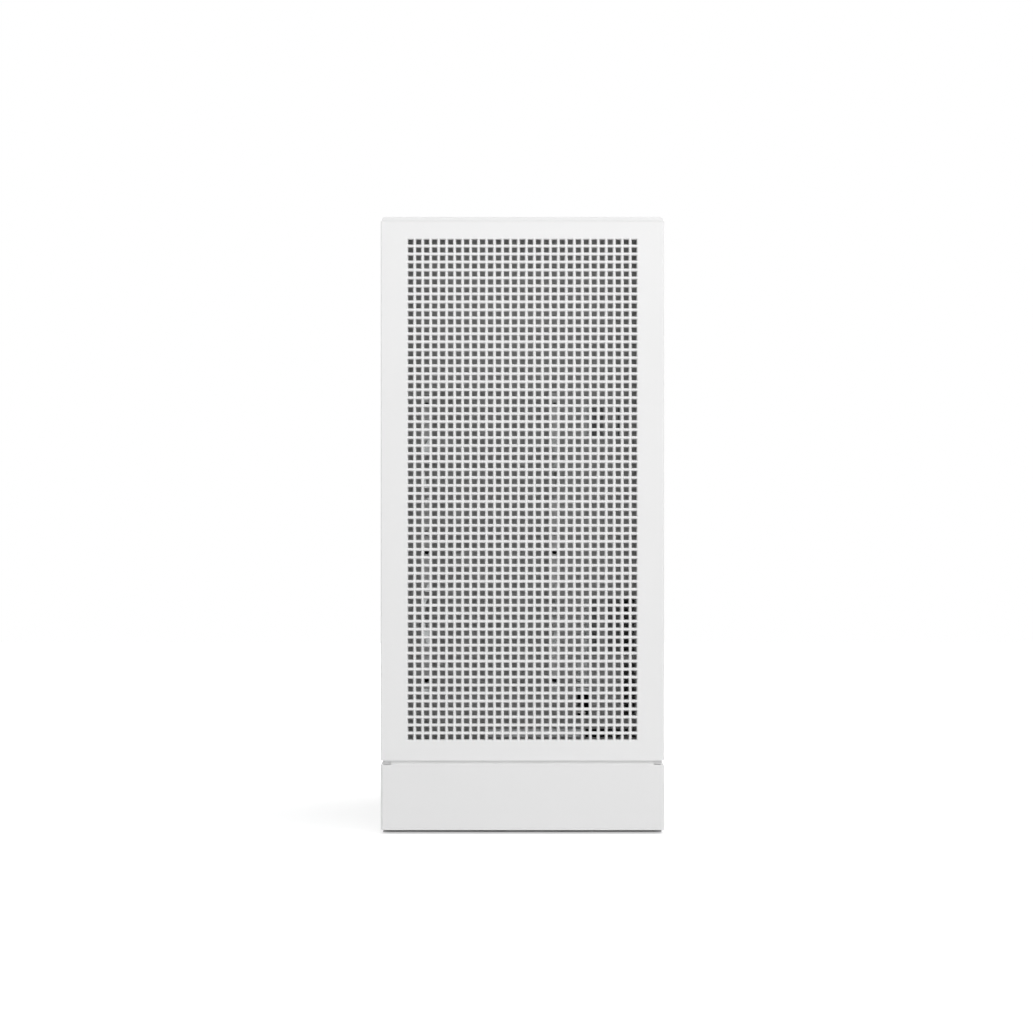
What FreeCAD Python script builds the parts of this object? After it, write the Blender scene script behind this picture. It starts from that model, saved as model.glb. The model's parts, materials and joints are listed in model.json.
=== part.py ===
import FreeCAD, Part
import math
import os
import re
import Sketcher
from FreeCAD import Placement, Rotation, Vector

# A mid-tower desktop computer: steel chassis, moulded front panel with tapered square holes, lid,
# glass left side, steel right side, fans, power supply, main board, graphics card and drives.
# Frame: X across the width, Y from front to back, Z up; origin on the floor under the middle.

doc = FreeCAD.newDocument("desktop_tower")

# ---------------------------------------------------------------- driving sizes, millimetres

SIZES = {
    # outside
    "case_width": 230.0,
    "case_depth": 480.0,
    "case_height": 500.6,
    "foot_thick": 1.6,
    "foot_groove": 1.6,
    "base_height": 56.1,
    "seam_gap": 3.5,
    "lip_inset": 8.4,
    "notch_depth": 14.0,
    "lid_thick": 3.3,
    "lid_inset": 0.8,
    "lid_round": 3.0,
    "cover_depth": 136.0,
    "vent_pitch": 7.0,
    "vent_wide": 3.4,
    "vent_rows": 41,
    "skirt_wall": 2.4,
    "skirt_round": 2.0,
    "sheet_thick": 1.0,
    "clear_fit": 0.3,
    # front panel
    "mesh_thick": 2.6,
    "mesh_edge": 0.9,
    "hole_pitch": 6.48,
    "hole_mouth": 5.2,
    "hole_throat": 3.8,
    "hole_columns": 29,
    "hole_rows": 63,
    "rows_per_band": 3,
    "field_lift": 1.05,
    "panel_frame_wall": 3.0,
    "front_space": 26.0,
    "stud_radius": 2.4,
    "stud_boss": 4.5,
    "stud_inset": 9.0,
    "stud_reach": 6.0,
    # chassis
    "side_space": 6.0,
    "rear_recess": 10.0,
    "floor_rise": 17.0,
    "floor_thick": 1.2,
    "tray_side": 83.0,
    "tray_setback": 64.0,
    "shroud_gap": 5.1,
    "foot_bar_depth": 46.0,
    "foot_inset": 14.0,
    "foot_neck_inset": 6.0,
    "pad_size": 26.0,
    "pad_proud": 0.4,
    # fans
    "fan_size": 120.0,
    "fan_depth": 25.0,
    "fan_wall": 2.5,
    "blade_gap": 3.5,
    "fan_hub": 20.0,
    "fan_corner": 7.5,
    "fan_hole": 2.2,
    "front_fan_side": -26.0,
    "low_fan_height": 176.4,
    "top_fan_height": 296.4,
    "window_width": 90.0,
    "window_height": 246.0,
    "rear_fan_side": -32.0,
    "rear_fan_height": 361.0,
    # main board
    "board_gap": 6.4,
    "board_thick": 1.6,
    "board_depth": 244.0,
    "board_height": 305.0,
    "board_low": 140.0,
    "board_rear_gap": 1.5,
    "ports_width": 44.5,
    "ports_height": 158.0,
    "slot_pitch": 20.32,
    "slot_count": 7,
    "slot_first": 262.0,
    "slot_width": 16.0,
    "slot_length": 104.0,
    # processor cooler
    "cooler_inset": 92.5,
    "cooler_depth": 50.0,
    "cooler_reach": 128.0,
    "cooler_width": 120.0,
    "fin_pitch": 3.2,
    "fin_thick": 0.5,
    "pipe_radius": 3.0,
    # graphics card
    "card_length": 262.0,
    "card_width": 106.0,
    "card_thick": 37.0,
    "card_fan": 43.0,
    # power supply
    "supply_width": 150.0,
    "supply_depth": 150.0,
    "supply_height": 86.0,
    "supply_fan": 61.0,
    # drives
    "drive_width": 101.6,
    "drive_depth": 147.0,
    "drive_height": 26.1,
    "cage_setback": 28.0,
    "glass_thick": 4.0,
    "rail_width": 14.0,
    "button_radius": 7.5,
    "button_drop": 0.2,
    "button_travel": 2.0,
    "jack_bore": 1.8,
    "jack_depth": 14.0,
    "ports_side": 88.0,
    "cable_radius": 4.0,
    "filter_half": 78.0,
}

sheet = doc.addObject("Spreadsheet::Sheet", "dims")
for row, (alias, value) in enumerate(SIZES.items(), start=1):
    sheet.set("A%d" % row, alias)
    sheet.set("B%d" % row, str(value))
    sheet.setAlias("B%d" % row, alias)
doc.recompute()


def bind(text):
    """The expression with the sheet's name put before each of its aliases."""
    return re.sub(r"[a-z_]+",
                  lambda word: "dims." + word.group() if word.group() in SIZES else word.group(), text)


def number(text):
    """The present value of an expression on the sheet."""
    found = sheet.evalExpression(bind(text))
    return float(getattr(found, "Value", found))


# ---------------------------------------------------------------- places that several pieces share

front = "(-case_depth / 2)"
back = "(case_depth / 2)"
side = "(case_width / 2)"
skirt_low = "(foot_thick + foot_groove)"
skirt_top = "base_height"
panel_low = "(base_height + seam_gap)"
lid_low = "(case_height - lid_thick)"
cover_back = f"({front} + cover_depth)"
frame_top = f"({lid_low} - clear_fit)"
roof_low = f"({frame_top} - sheet_thick)"
panel_top = f"({lid_low} - 1.3 * clear_fit)"
plate_front = f"({front} + front_space)"
plate_back = f"({plate_front} + sheet_thick)"
rear_out = f"({back} - rear_recess)"
rear_in = f"({rear_out} - sheet_thick)"
frame_side = "(case_width / 2 - side_space)"
floor_low = f"({skirt_low} + floor_rise)"
floor_top = f"({floor_low} + floor_thick)"
tray_far = "(tray_side + sheet_thick)"
board_face = "(tray_side - board_gap - board_thick)"
board_back = "(tray_side - board_gap)"
board_rear = f"({rear_in} - board_rear_gap)"
board_top = "(board_low + board_height)"
board_edge = f"({board_rear} - board_depth)"
cooler_mid = f"({board_rear} - cooler_inset)"
tray_front = f"({plate_front} + tray_setback)"
cage_front = f"({plate_back} + cage_setback)"
shroud_top = f"({floor_top} + supply_height + shroud_gap)"
supply_low = floor_top
supply_high = f"({floor_top} + supply_height)"
supply_front = f"({rear_in} - supply_depth)"
supply_mid = f"({rear_in} - supply_depth / 2)"
pass_mid = f"({supply_front} - 76)"
fan_pitch = "(fan_size - 2 * fan_corner)"
fan_bore = "(fan_size / 2 - fan_wall)"
fan_tip = f"({fan_bore} - blade_gap)"
fans_mid = "((low_fan_height + top_fan_height) / 2)"


# ---------------------------------------------------------------- ways of making a piece

def box(name, x, y, z):
    """A block between two planes on each axis, all of them expressions."""
    block = doc.addObject("Part::Box", name)
    for size, place, (low, high) in (("Length", "x", x), ("Width", "y", y), ("Height", "z", z)):
        block.setExpression(size, bind(f"({high}) - ({low})"))
        block.setExpression("Placement.Base." + place, bind(f"{low}"))
    return block


TURNS = {
    "x": Rotation(Vector(0, 1, 0), 90),
    "y": Rotation(Vector(1, 0, 0), -90),
    "z": Rotation(),
}


def rod(name, axis, start, length, radius):
    """A cylinder along an axis from its start point."""
    made = doc.addObject("Part::Cylinder", name)
    made.Placement = Placement(Vector(), TURNS[axis])
    for place, value in zip("xyz", start):
        made.setExpression("Placement.Base." + place, bind(str(value)))
    made.setExpression("Radius", bind(str(radius)))
    made.setExpression("Height", bind(str(length)))
    return made


def cone(name, axis, start, length, radius_low, radius_high):
    """A cone frustum along an axis from its start point."""
    made = doc.addObject("Part::Cone", name)
    made.Placement = Placement(Vector(), TURNS[axis])
    for place, value in zip("xyz", start):
        made.setExpression("Placement.Base." + place, bind(str(value)))
    made.setExpression("Radius1", bind(str(radius_low)))
    made.setExpression("Radius2", bind(str(radius_high)))
    made.setExpression("Height", bind(str(length)))
    return made


def ring(name, axis, centre, radius, wire):
    """A wire ring round an axis."""
    made = doc.addObject("Part::Torus", name)
    made.Placement = Placement(Vector(), TURNS[axis])
    for place, value in zip("xyz", centre):
        made.setExpression("Placement.Base." + place, bind(str(value)))
    made.setExpression("Radius1", bind(str(radius)))
    made.setExpression("Radius2", bind(str(wire)))
    return made


def fuse(name, *pieces):
    made = doc.addObject("Part::MultiFuse", name)
    made.Shapes = list(pieces)
    made.Refine = True
    return made


def cut(name, base, *tools):
    made = doc.addObject("Part::Cut", name)
    made.Base = base
    made.Tool = tools[0] if len(tools) == 1 else fuse(name + "_tools", *tools)
    return made


def group(name, *pieces):
    """Separate solids that share one node."""
    made = doc.addObject("Part::Compound", name)
    made.Links = list(pieces)
    return made


def body(name):
    return doc.addObject("PartDesign::Body", name)


def sketch(owner, name, role):
    """An empty sketch on one of the body's own origin planes."""
    plane = [found for found in owner.Origin.OriginFeatures if found.Role == role][0]
    made = owner.newObject("Sketcher::SketchObject", name)
    made.AttachmentSupport = (plane, "")
    made.MapMode = "FlatFace"
    return made


def fix_point(drawn, label, curve, point, u, v):
    """Hold a point of a sketch at two expressions from the origin."""
    for kind, value, letter in (("DistanceX", u, "u"), ("DistanceY", v, "v")):
        place = drawn.addConstraint(Sketcher.Constraint(kind, -1, 1, curve, point, number(value)))
        drawn.renameConstraint(place, label + letter)
        drawn.setExpression("Constraints." + label + letter, bind(value))


def outline(drawn, points, label="p"):
    """A closed outline of straight lines through points given as expressions."""
    places = [Vector(number(u), number(v), 0) for u, v in points]
    first = drawn.GeometryCount
    count = len(points)
    for index in range(count):
        drawn.addGeometry(Part.LineSegment(places[index], places[(index + 1) % count]))
    for index in range(count):
        following = first + (index + 1) % count
        drawn.addConstraint(Sketcher.Constraint("Coincident", first + index, 2, following, 1))
    for index, (u, v) in enumerate(points):
        fix_point(drawn, "%s%d" % (label, index), first + index, 1, u, v)


def disc(drawn, u, v, radius, label="c"):
    """A circle in a sketch."""
    place = Vector(number(u), number(v), 0)
    curve = drawn.addGeometry(Part.Circle(place, Vector(0, 0, 1), number(radius)))
    fix_point(drawn, label, curve, 3, u, v)
    held = drawn.addConstraint(Sketcher.Constraint("Radius", curve, number(radius)))
    drawn.renameConstraint(held, label + "radius")
    drawn.setExpression("Constraints." + label + "radius", bind(radius))


def rounded(drawn, u, v, radius, corners="abcd", label="q"):
    """A rectangle between two u and two v values, with the named corners rounded.

    Corners a, b, c and d run the way round from low u and low v to low u and high v. Each is met at
    one point, or at two points joined by an arc.
    """
    places = {"a": (u[0], v[0]), "b": (u[1], v[0]), "c": (u[1], v[1]), "d": (u[0], v[1])}
    inward = {"a": (1, 1), "b": (-1, 1), "c": (-1, -1), "d": (1, -1)}
    begin = {"a": math.pi, "b": 1.5 * math.pi, "c": 0.0, "d": 0.5 * math.pi}
    enter = {}
    leave = {}
    middle = {}
    for corner, (across, up) in places.items():
        enter[corner] = leave[corner] = (across, up)
        if corner in corners:
            step_u = f"({across}) + ({inward[corner][0]}) * ({radius})"
            step_v = f"({up}) + ({inward[corner][1]}) * ({radius})"
            middle[corner] = (step_u, step_v)
            meets = ((across, step_v), (step_u, up))
            enter[corner], leave[corner] = meets if corner in "ac" else meets[::-1]
    lines = {}
    for corner, after in zip("abcd", "bcda"):
        ends = [Vector(number(one), number(two), 0) for one, two in (leave[corner], enter[after])]
        lines[corner] = drawn.addGeometry(Part.LineSegment(*ends))
        fix_point(drawn, label + corner + "start", lines[corner], 1, *leave[corner])
        if after in corners:
            fix_point(drawn, label + corner + "end", lines[corner], 2, *enter[after])
    for corner, before in zip("abcd", "dabc"):
        if corner in corners:
            centre = Vector(number(middle[corner][0]), number(middle[corner][1]), 0)
            circle = Part.Circle(centre, Vector(0, 0, 1), number(radius))
            arc = drawn.addGeometry(Part.ArcOfCircle(circle, begin[corner], begin[corner] + math.pi / 2))
            drawn.addConstraint(Sketcher.Constraint("Coincident", arc, 1, lines[before], 2))
            drawn.addConstraint(Sketcher.Constraint("Coincident", arc, 2, lines[corner], 1))
            held = drawn.addConstraint(Sketcher.Constraint("Radius", arc, number(radius)))
            drawn.renameConstraint(held, label + corner + "radius")
            drawn.setExpression("Constraints." + label + corner + "radius", bind(radius))
        else:
            drawn.addConstraint(Sketcher.Constraint("Coincident", lines[before], 2, lines[corner], 1))


def pad(owner, name, profile, length, reverse=False, middle=False):
    made = owner.newObject("PartDesign::Pad", name)
    made.Profile = profile
    made.setExpression("Length", bind(length))
    made.Reversed = reverse
    if middle:
        made.SideType = "Symmetric"
    return made


def pocket(owner, name, profile, length, reverse=False, middle=False):
    made = owner.newObject("PartDesign::Pocket", name)
    made.Profile = profile
    made.setExpression("Length", bind(length))
    made.Reversed = reverse
    if middle:
        made.SideType = "Symmetric"
    return made


def seat(made, x="0", y="0", z="0"):
    """Put a body's origin at three expressions."""
    for place, value in (("x", x), ("y", y), ("z", z)):
        made.setExpression("Placement.Base." + place, bind(value))
    return made


# ---------------------------------------------------------------- base

def base_skirt():
    """Moulded U round the front and both sides of the base, open at the back."""
    made = body("base_skirt")
    plan = sketch(made, "skirt_plan", "XY_Plane")
    rounded(plan, (f"-{side}", side), (front, back), "skirt_round", "ab")
    pad(made, "skirt_block", plan, f"{skirt_top} - {skirt_low}")
    hollow = sketch(made, "skirt_hollow", "XY_Plane")
    inner = f"({side} - skirt_wall)"
    outline(hollow, [(f"-{inner}", f"{front} + skirt_wall"), (inner, f"{front} + skirt_wall"),
                     (inner, f"{back} + 1"), (f"-{inner}", f"{back} + 1")])
    pocket(made, "skirt_opening", hollow, f"{skirt_top} - {skirt_low}", reverse=True)
    return seat(made, z=skirt_low)


def base_deck():
    """Set-back ring between the base and the panels, which makes the shadow gap round the case."""
    wide = f"({side} - lip_inset)"
    wall = f"({side} - skirt_wall)"
    ring_block = box("deck_block", (f"-{wide}", wide), (f"{front} + 1.5", rear_in), (skirt_top, panel_low))
    well = box("deck_well", ("-98", "98"), (f"{plate_back} + 6", f"{rear_in} + 1"),
               (f"{skirt_top} - 1", f"{panel_low} + 1"))
    ears = box("deck_ears", (f"-{wall}", wall), (f"{front} + notch_depth", f"{plate_front} - 1"),
               (f"{skirt_top}", panel_low))
    keel = box("deck_keel", (f"-{wall}", wall), (f"{front} + notch_depth", f"{front} + notch_depth + 4"),
               (floor_top, skirt_top))
    return fuse("base_deck", cut("deck_ring", ring_block, well), ears, keel)


def floor_plate():
    """Steel floor with an air opening under the power supply's fan."""
    wall = f"({side} - skirt_wall)"
    plate = box("floor_sheet", (f"-{wall}", wall), (f"{front} + skirt_wall", rear_in), (floor_low, floor_top))
    middle = f"({rear_in} - supply_depth / 2)"
    vent = rod("floor_vent", "z", ("0", middle, f"{floor_low} - 1"), "floor_thick + 2", "supply_fan")
    return cut("floor_plate", plate, vent)


def foot_bar(name, near, passage=False):
    """Full-width moulded foot: a low flange under a set-back neck, with a passage for the dust filter."""
    long = f"({side} - 1.5)"
    far = f"{near} + foot_bar_depth"
    flange = box(name + "_flange", (f"-{long}", long), (near, far), ("pad_proud", "foot_thick"))
    neck = box(name + "_neck", (f"-{long} + foot_neck_inset", f"{long} - foot_neck_inset"),
               (f"{near} + foot_neck_inset", f"{far} - foot_neck_inset"), ("foot_thick", floor_low))
    if not passage:
        return fuse(name, flange, neck)
    opening = box(name + "_passage", ("-filter_half - 6", "filter_half + 6"), (f"{near} - 1", f"{far} + 1"),
                  (f"{floor_low} - 8", f"{floor_low} + 1"))
    return cut(name, fuse(name + "_whole", flange, neck), opening)


def foot_pads(starts):
    """Four rubber pads let into the undersides of the two foot bars."""
    pads = []
    for index, near in enumerate(starts):
        for hand, sign in (("left", "-1"), ("right", "1")):
            centre = f"({sign} * ({side} - 1.5 - pad_size))"
            pads.append(box("pad_%s_%d" % (hand, index),
                            (f"{centre} - pad_size / 2", f"{centre} + pad_size / 2"),
                            (f"{near} + 10", f"{near} + 10 + pad_size"), ("0", "pad_proud")))
    return group("foot_pads", *pads)


def floor_filter():
    """Slide-out dust filter under the floor: a rim with a fine sheet, and a pull tab at the back."""
    low = f"({floor_low} - 5.2)"
    high = f"({floor_low} - clear_fit)"
    rim = box("filter_rim", ("-filter_half", "filter_half"),
              (f"{rear_in} - supply_depth - 8", f"{back} - 2"), (low, high))
    gap = box("filter_gap", ("-filter_half + 8", "filter_half - 8"),
              (f"{rear_in} - supply_depth", f"{rear_in} - 6"),
              (f"{low} - 1", f"{high} + 1"))
    mesh = box("filter_sheet", ("-filter_half + 8", "filter_half - 8"),
               (f"{rear_in} - supply_depth", f"{rear_in} - 6"),
               (f"{low} + 2", f"{low} + 2.6"))
    return fuse("floor_filter", cut("filter_ring", rim, gap), mesh)


def filter_runners():
    """Two L-shaped runners under the floor that carry the slide-out filter."""
    pieces = []
    for hand, sign in (("left", -1), ("right", 1)):
        inner, outer = (f"{sign} * (filter_half - 6)", f"{sign} * (filter_half + 4)")
        low_x, high_x = (outer, inner) if sign < 0 else (inner, outer)
        shelf = box("runner_shelf_" + hand, (low_x, high_x), (f"{rear_in} - supply_depth - 10", rear_in),
                    (f"{floor_low} - 5.5 - 1.5", f"{floor_low} - 5.5"))
        wall_in, wall_out = (f"{sign} * (filter_half + clear_fit)", f"{sign} * (filter_half + 4)")
        low_x, high_x = (wall_out, wall_in) if sign < 0 else (wall_in, wall_out)
        wall = box("runner_wall_" + hand, (low_x, high_x), (f"{rear_in} - supply_depth - 10", rear_in),
                   (f"{floor_low} - 5.5", floor_low))
        pieces.append(fuse("runner_" + hand, shelf, wall))
    return group("filter_runners", *pieces)


# ---------------------------------------------------------------- chassis

def front_plate():
    """White steel wall behind the front panel, with the fan window, slots and cable openings."""
    plate = box("plate_sheet", (f"-{frame_side}", frame_side), (plate_front, plate_back),
                (panel_low, roof_low))
    through = (f"{plate_front} - 1", f"{plate_back} + 1")
    half_w = "window_width / 2"
    half_h = "window_height / 2"
    window = box("plate_window", (f"front_fan_side - {half_w}", f"front_fan_side + {half_w}"), through,
                 (f"{fans_mid} - {half_h}", f"{fans_mid} + {half_h}"))
    tools = [window]
    for hand, sign in (("left", "-"), ("right", "+")):
        middle = f"front_fan_side {sign} {fan_pitch} / 2"
        for index, (low, high) in enumerate((("-123.4", "-46.4"), ("-40.4", "36.6"), ("44.6", "122.6"))):
            tools.append(box("plate_slot_%s_%d" % (hand, index), (f"{middle} - 2.9", f"{middle} + 2.9"),
                             through,
                             (f"{fans_mid} {low if low[0] == '-' else '+' + low}",
                              f"{fans_mid} {high if high[0] == '-' else '+' + high}")))
    tools.append(box("plate_port_one", ("50", "68"), through, ("321.5", "347")))
    tools.append(box("plate_port_two", ("76", "82"), through, ("321.5", "347")))
    tools.append(box("plate_hatch", ("50", "92"), through, ("144", "190")))
    tools.append(box("plate_gate", ("45", "92"), through, ("92", "140")))
    tools.append(box("plate_low_slot", ("-30", "92"), through, ("77", "84")))
    tools.append(box("plate_recess_hole", ("-74", "55"), through, ("385", "443")))
    stud_x = f"({frame_side} - stud_inset)"
    for row, height in stud_heights():
        for hand, sign in (("left", "-"), ("right", "")):
            tools.append(rod("plate_stud_%s_%s" % (hand, row), "y",
                             (sign + stud_x, f"{plate_front} - 1", height),
                             "sheet_thick + 2", "stud_radius + clear_fit"))
    pierced = cut("plate_pierced", plate, *tools)
    strap = box("plate_strap", ("61.6", "68"), (plate_back, f"{plate_back} + 1.2"), ("140", "196"))
    block = box("plate_block", ("56", "80"), (plate_back, f"{plate_back} + 6"), ("86", "142"))
    recess = box("plate_recess", ("-76", "57"), (plate_back, f"{plate_back} + 1"), ("383", "445"))
    bridge = box("plate_bridge", ("66", "78"), (plate_back, f"{plate_back} + 1.2"), ("300", "450"))
    return fuse("front_plate", pierced, strap, block, recess, bridge)


def stud_heights():
    """The heights of the front panel's snap studs, low and high."""
    return (("low", f"({panel_low} + 16)"), ("high", f"({roof_low} - 16)"))


def rear_panel():
    """Steel back wall with openings for ports, fan, seven slots and the power supply."""
    plate = box("rear_sheet", (f"-{frame_side}", frame_side), (rear_in, rear_out), (floor_top, roof_low))
    through = (f"{rear_in} - 1", f"{rear_out} + 1")
    tools = [box("rear_ports_hole", (f"{board_face} - ports_width", board_face), through,
                 (f"{board_top} - 6 - ports_height", f"{board_top} - 6"))]
    tools.append(rod("rear_fan_hole", "y", ("rear_fan_side", f"{rear_in} - 1", "rear_fan_height"),
                     "sheet_thick + 2", fan_bore))
    for index in range(int(SIZES["slot_count"])):
        middle = f"(slot_first - {index} * slot_pitch)"
        tools.append(box("rear_slot_%d" % index, (f"{board_face} - 2 - slot_length", f"{board_face} - 2"),
                         through,
                         (f"{middle} - slot_width / 2 + 1", f"{middle} + slot_width / 2 - 1")))
    tools.append(box("rear_supply_hole", ("-supply_width / 2 + 5", "supply_width / 2 - 5"), through,
                     (f"{floor_top} + 6", f"{floor_top} + supply_height - 4")))
    pierced = cut("rear_pierced", plate, *tools)
    bars = []
    for turn, (dx, dz) in enumerate(((1, 0), (0, 1))):
        bars.append(box("rear_fan_bar_%d" % turn,
                        (f"rear_fan_side - {57.9 if dx else 1.5}", f"rear_fan_side + {57.9 if dx else 1.5}"),
                        (rear_in, rear_out),
                        (f"rear_fan_height - {57.9 if dz else 1.5}",
                         f"rear_fan_height + {57.9 if dz else 1.5}")))
    for index, radius in enumerate((20, 33, 46)):
        outer = rod("rear_ring_out_%d" % index, "y", ("rear_fan_side", rear_in, "rear_fan_height"),
                    "sheet_thick", f"{radius} + 1.5")
        inner = rod("rear_ring_in_%d" % index, "y", ("rear_fan_side", f"{rear_in} - 1", "rear_fan_height"),
                    "sheet_thick + 2", f"{radius} - 1.5")
        bars.append(cut("rear_ring_%d" % index, outer, inner))
    return group("rear_panel", fuse("rear_wall", pierced, *bars), *slot_covers())


def slot_covers(skip=(1, 2)):
    """Five blanking strips over the unused expansion slots."""
    strips = []
    for index in range(int(SIZES["slot_count"])):
        if index in skip:
            continue
        middle = f"(slot_first - {index} * slot_pitch)"
        strip = box("cover_strip_%d" % index, (f"{board_face} - slot_length - 6", f"{board_face} + 1"),
                    (f"{rear_in} - 1", rear_in), (f"{middle} - slot_width / 2", f"{middle} + slot_width / 2"))
        strips.append(strip)
    return strips


def motherboard_tray():
    """Steel tray that carries the main board, with a cooler window and cable openings."""
    sheet_x = ("tray_side", tray_far)
    plate = box("tray_sheet", sheet_x, (tray_front, rear_in), (panel_low, roof_low))
    through = ("tray_side - 1", f"{tray_far} + 1")
    window = box("tray_window", through, (f"{cooler_mid} - 60", f"{cooler_mid} + 50"),
                 ("rear_fan_height - 50", "rear_fan_height + 60"))
    tools = [window]
    for index, low in enumerate((150, 245, 340)):
        tools.append(box("tray_port_%d" % index, through, (f"{board_edge} - 55.5", f"{board_edge} - 27.5"),
                         (f"{low}", f"{low} + 70")))
    tools.append(box("tray_notch", through, (f"{tray_front} - 1", f"{plate_front} + 118"),
                     (f"{roof_low} - 18", f"{roof_low} + 1")))
    tools.append(box("tray_low_port", through, (f"{board_edge} + 18.5", f"{board_edge} + 74.5"),
                     (f"{panel_low} + 6", f"{shroud_top} - 10")))
    tools.append(box("tray_top_port", through, (f"{board_rear} - 77.5", f"{board_rear} - 37.5"),
                     (f"{board_top} + 8", f"{board_top} + 28")))
    return cut("motherboard_tray", plate, *tools)


def top_frame():
    """Steel roof under the lid, with two large vents and an opening for the front ports."""
    plate = box("roof_sheet", (f"-{frame_side}", frame_side), (plate_front, rear_out), (roof_low, frame_top))
    through = (f"{roof_low} - 1", f"{frame_top} + 1")
    tools = []
    for index, (near, far) in enumerate(((f"{cover_back} + 6", "12"), ("28", "190"))):
        tools.append(box("roof_vent_%d" % index, ("-88", "62"), (near, far), through))
    tools.append(box("roof_ports", ("ports_side - 15", "ports_side + 15"),
                     (f"{plate_front} + 10", f"{plate_front} + 112"),
                     through))
    return cut("top_frame", plate, *tools)


def psu_shroud():
    """Steel cover over the power supply and drives, with an upright wall beside the glass."""
    top = box("shroud_sheet_top", (f"-{frame_side} + 1", "tray_side"), (f"{plate_back} + 6", rear_in),
              (shroud_top, f"{shroud_top} + sheet_thick"))
    wall = box("shroud_wall", (f"-{frame_side} + 1", f"-{frame_side} + 2"), (plate_back, rear_in),
               (f"{panel_low} + 14", shroud_top))
    pass_one = box("shroud_pass", ("20", "60"), (f"{pass_mid} - 13", f"{pass_mid} + 13"),
                   (f"{shroud_top} - 1", f"{shroud_top} + sheet_thick + 1"))
    pass_two = box("shroud_pass_low", ("40", "76"), (f"{tray_front} + 30", f"{tray_front} + 60"),
                   (f"{shroud_top} - 1", f"{shroud_top} + sheet_thick + 1"))
    return cut("psu_shroud", fuse("shroud_sheet", top, wall), pass_one, pass_two)


def cable_cover():
    """Folded strip that hides the cable openings beside the main board."""
    face = box("cover_face", ("56", "57.2"), (f"{board_edge} - 71.5", f"{board_edge} - 21.5"),
               (f"{shroud_top} + sheet_thick", "452"))
    leg = box("cover_leg", ("57.2", "tray_side"), (f"{board_edge} - 71.5", f"{board_edge} - 70.3"),
              (f"{shroud_top} + sheet_thick", "452"))
    return fuse("cable_cover", face, leg)


# ---------------------------------------------------------------- fans

def place_on(axis, across, along, up):
    """Order (across, along the axis, up) values into x, y, z for a fan on the y or z axis."""
    return (across, along, up) if axis == "y" else (across, up, along)


def fan_frame(name, centre):
    """Square fan housing on the y axis: bore, corner holes, and a motor mount on four arms."""
    cx, cy, cz = centre
    half = "fan_size / 2"
    back_face = f"({cy} + fan_depth / 2)"
    block = box(name + "_block", (f"{cx} - {half}", f"{cx} + {half}"),
                (f"{cy} - fan_depth / 2", back_face), (f"{cz} - {half}", f"{cz} + {half}"))
    tools = [rod(name + "_bore", "y", (cx, f"{cy} - fan_depth / 2 - 1", cz), "fan_depth + 2", fan_bore)]
    for index, (sx, sz) in enumerate(((-1, -1), (1, -1), (1, 1), (-1, 1))):
        start = (f"{cx} + {sx} * {fan_pitch} / 2", f"{cy} - fan_depth / 2 - 1",
                 f"{cz} + {sz} * {fan_pitch} / 2")
        tools.append(rod(name + "_hole_%d" % index, "y", start, "fan_depth + 2", "fan_hole"))
    shell = cut(name + "_shell", block, *tools)
    mount = rod(name + "_mount", "y", (cx, f"{back_face} - 3", cz), "3", "fan_hub + 1")
    arm_one = box(name + "_arm_one", (f"{cx} - {fan_bore} - 1", f"{cx} + {fan_bore} + 1"),
                  (f"{back_face} - 3", back_face), (f"{cz} - 2", f"{cz} + 2"))
    arm_two = box(name + "_arm_two", (f"{cx} - 2", f"{cx} + 2"), (f"{back_face} - 3", back_face),
                  (f"{cz} - {fan_bore} - 1", f"{cz} + {fan_bore} + 1"))
    return fuse(name, shell, mount, arm_one, arm_two)


def fan_rotor(name, axis, centre, depth, tip, hub, blades):
    """Hub and pitched blades; each blade is a slanted section padded out from the axis."""
    made = body(name)
    face = sketch(made, name + "_face", "XZ_Plane" if axis == "y" else "XY_Plane")
    disc(face, "0", "0", hub)
    pad(made, name + "_hub", face, depth, middle=True)
    section = sketch(made, name + "_section", "YZ_Plane")
    reach = f"(({depth}) / 2 - 1.2)"
    swing = f"(({tip}) * 0.2)"
    corners = [(f"-{reach}", f"-{swing}"), (f"-{reach} + 2.2", f"-{swing}"),
               (reach, swing), (f"{reach} - 2.2", swing)]
    if axis == "z":
        corners = [(v, u) for u, v in corners]
    outline(section, corners)
    blade = pad(made, name + "_blade", section, tip)
    doc.recompute()
    turned = made.newObject("PartDesign::PolarPattern", name + "_blades")
    turned.Originals = [blade]
    turned.Axis = (face, ["N_Axis"])
    turned.Angle = 360
    turned.Occurrences = blades
    made.Tip = turned
    return seat(made, *centre)


# ---------------------------------------------------------------- front panel

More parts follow.
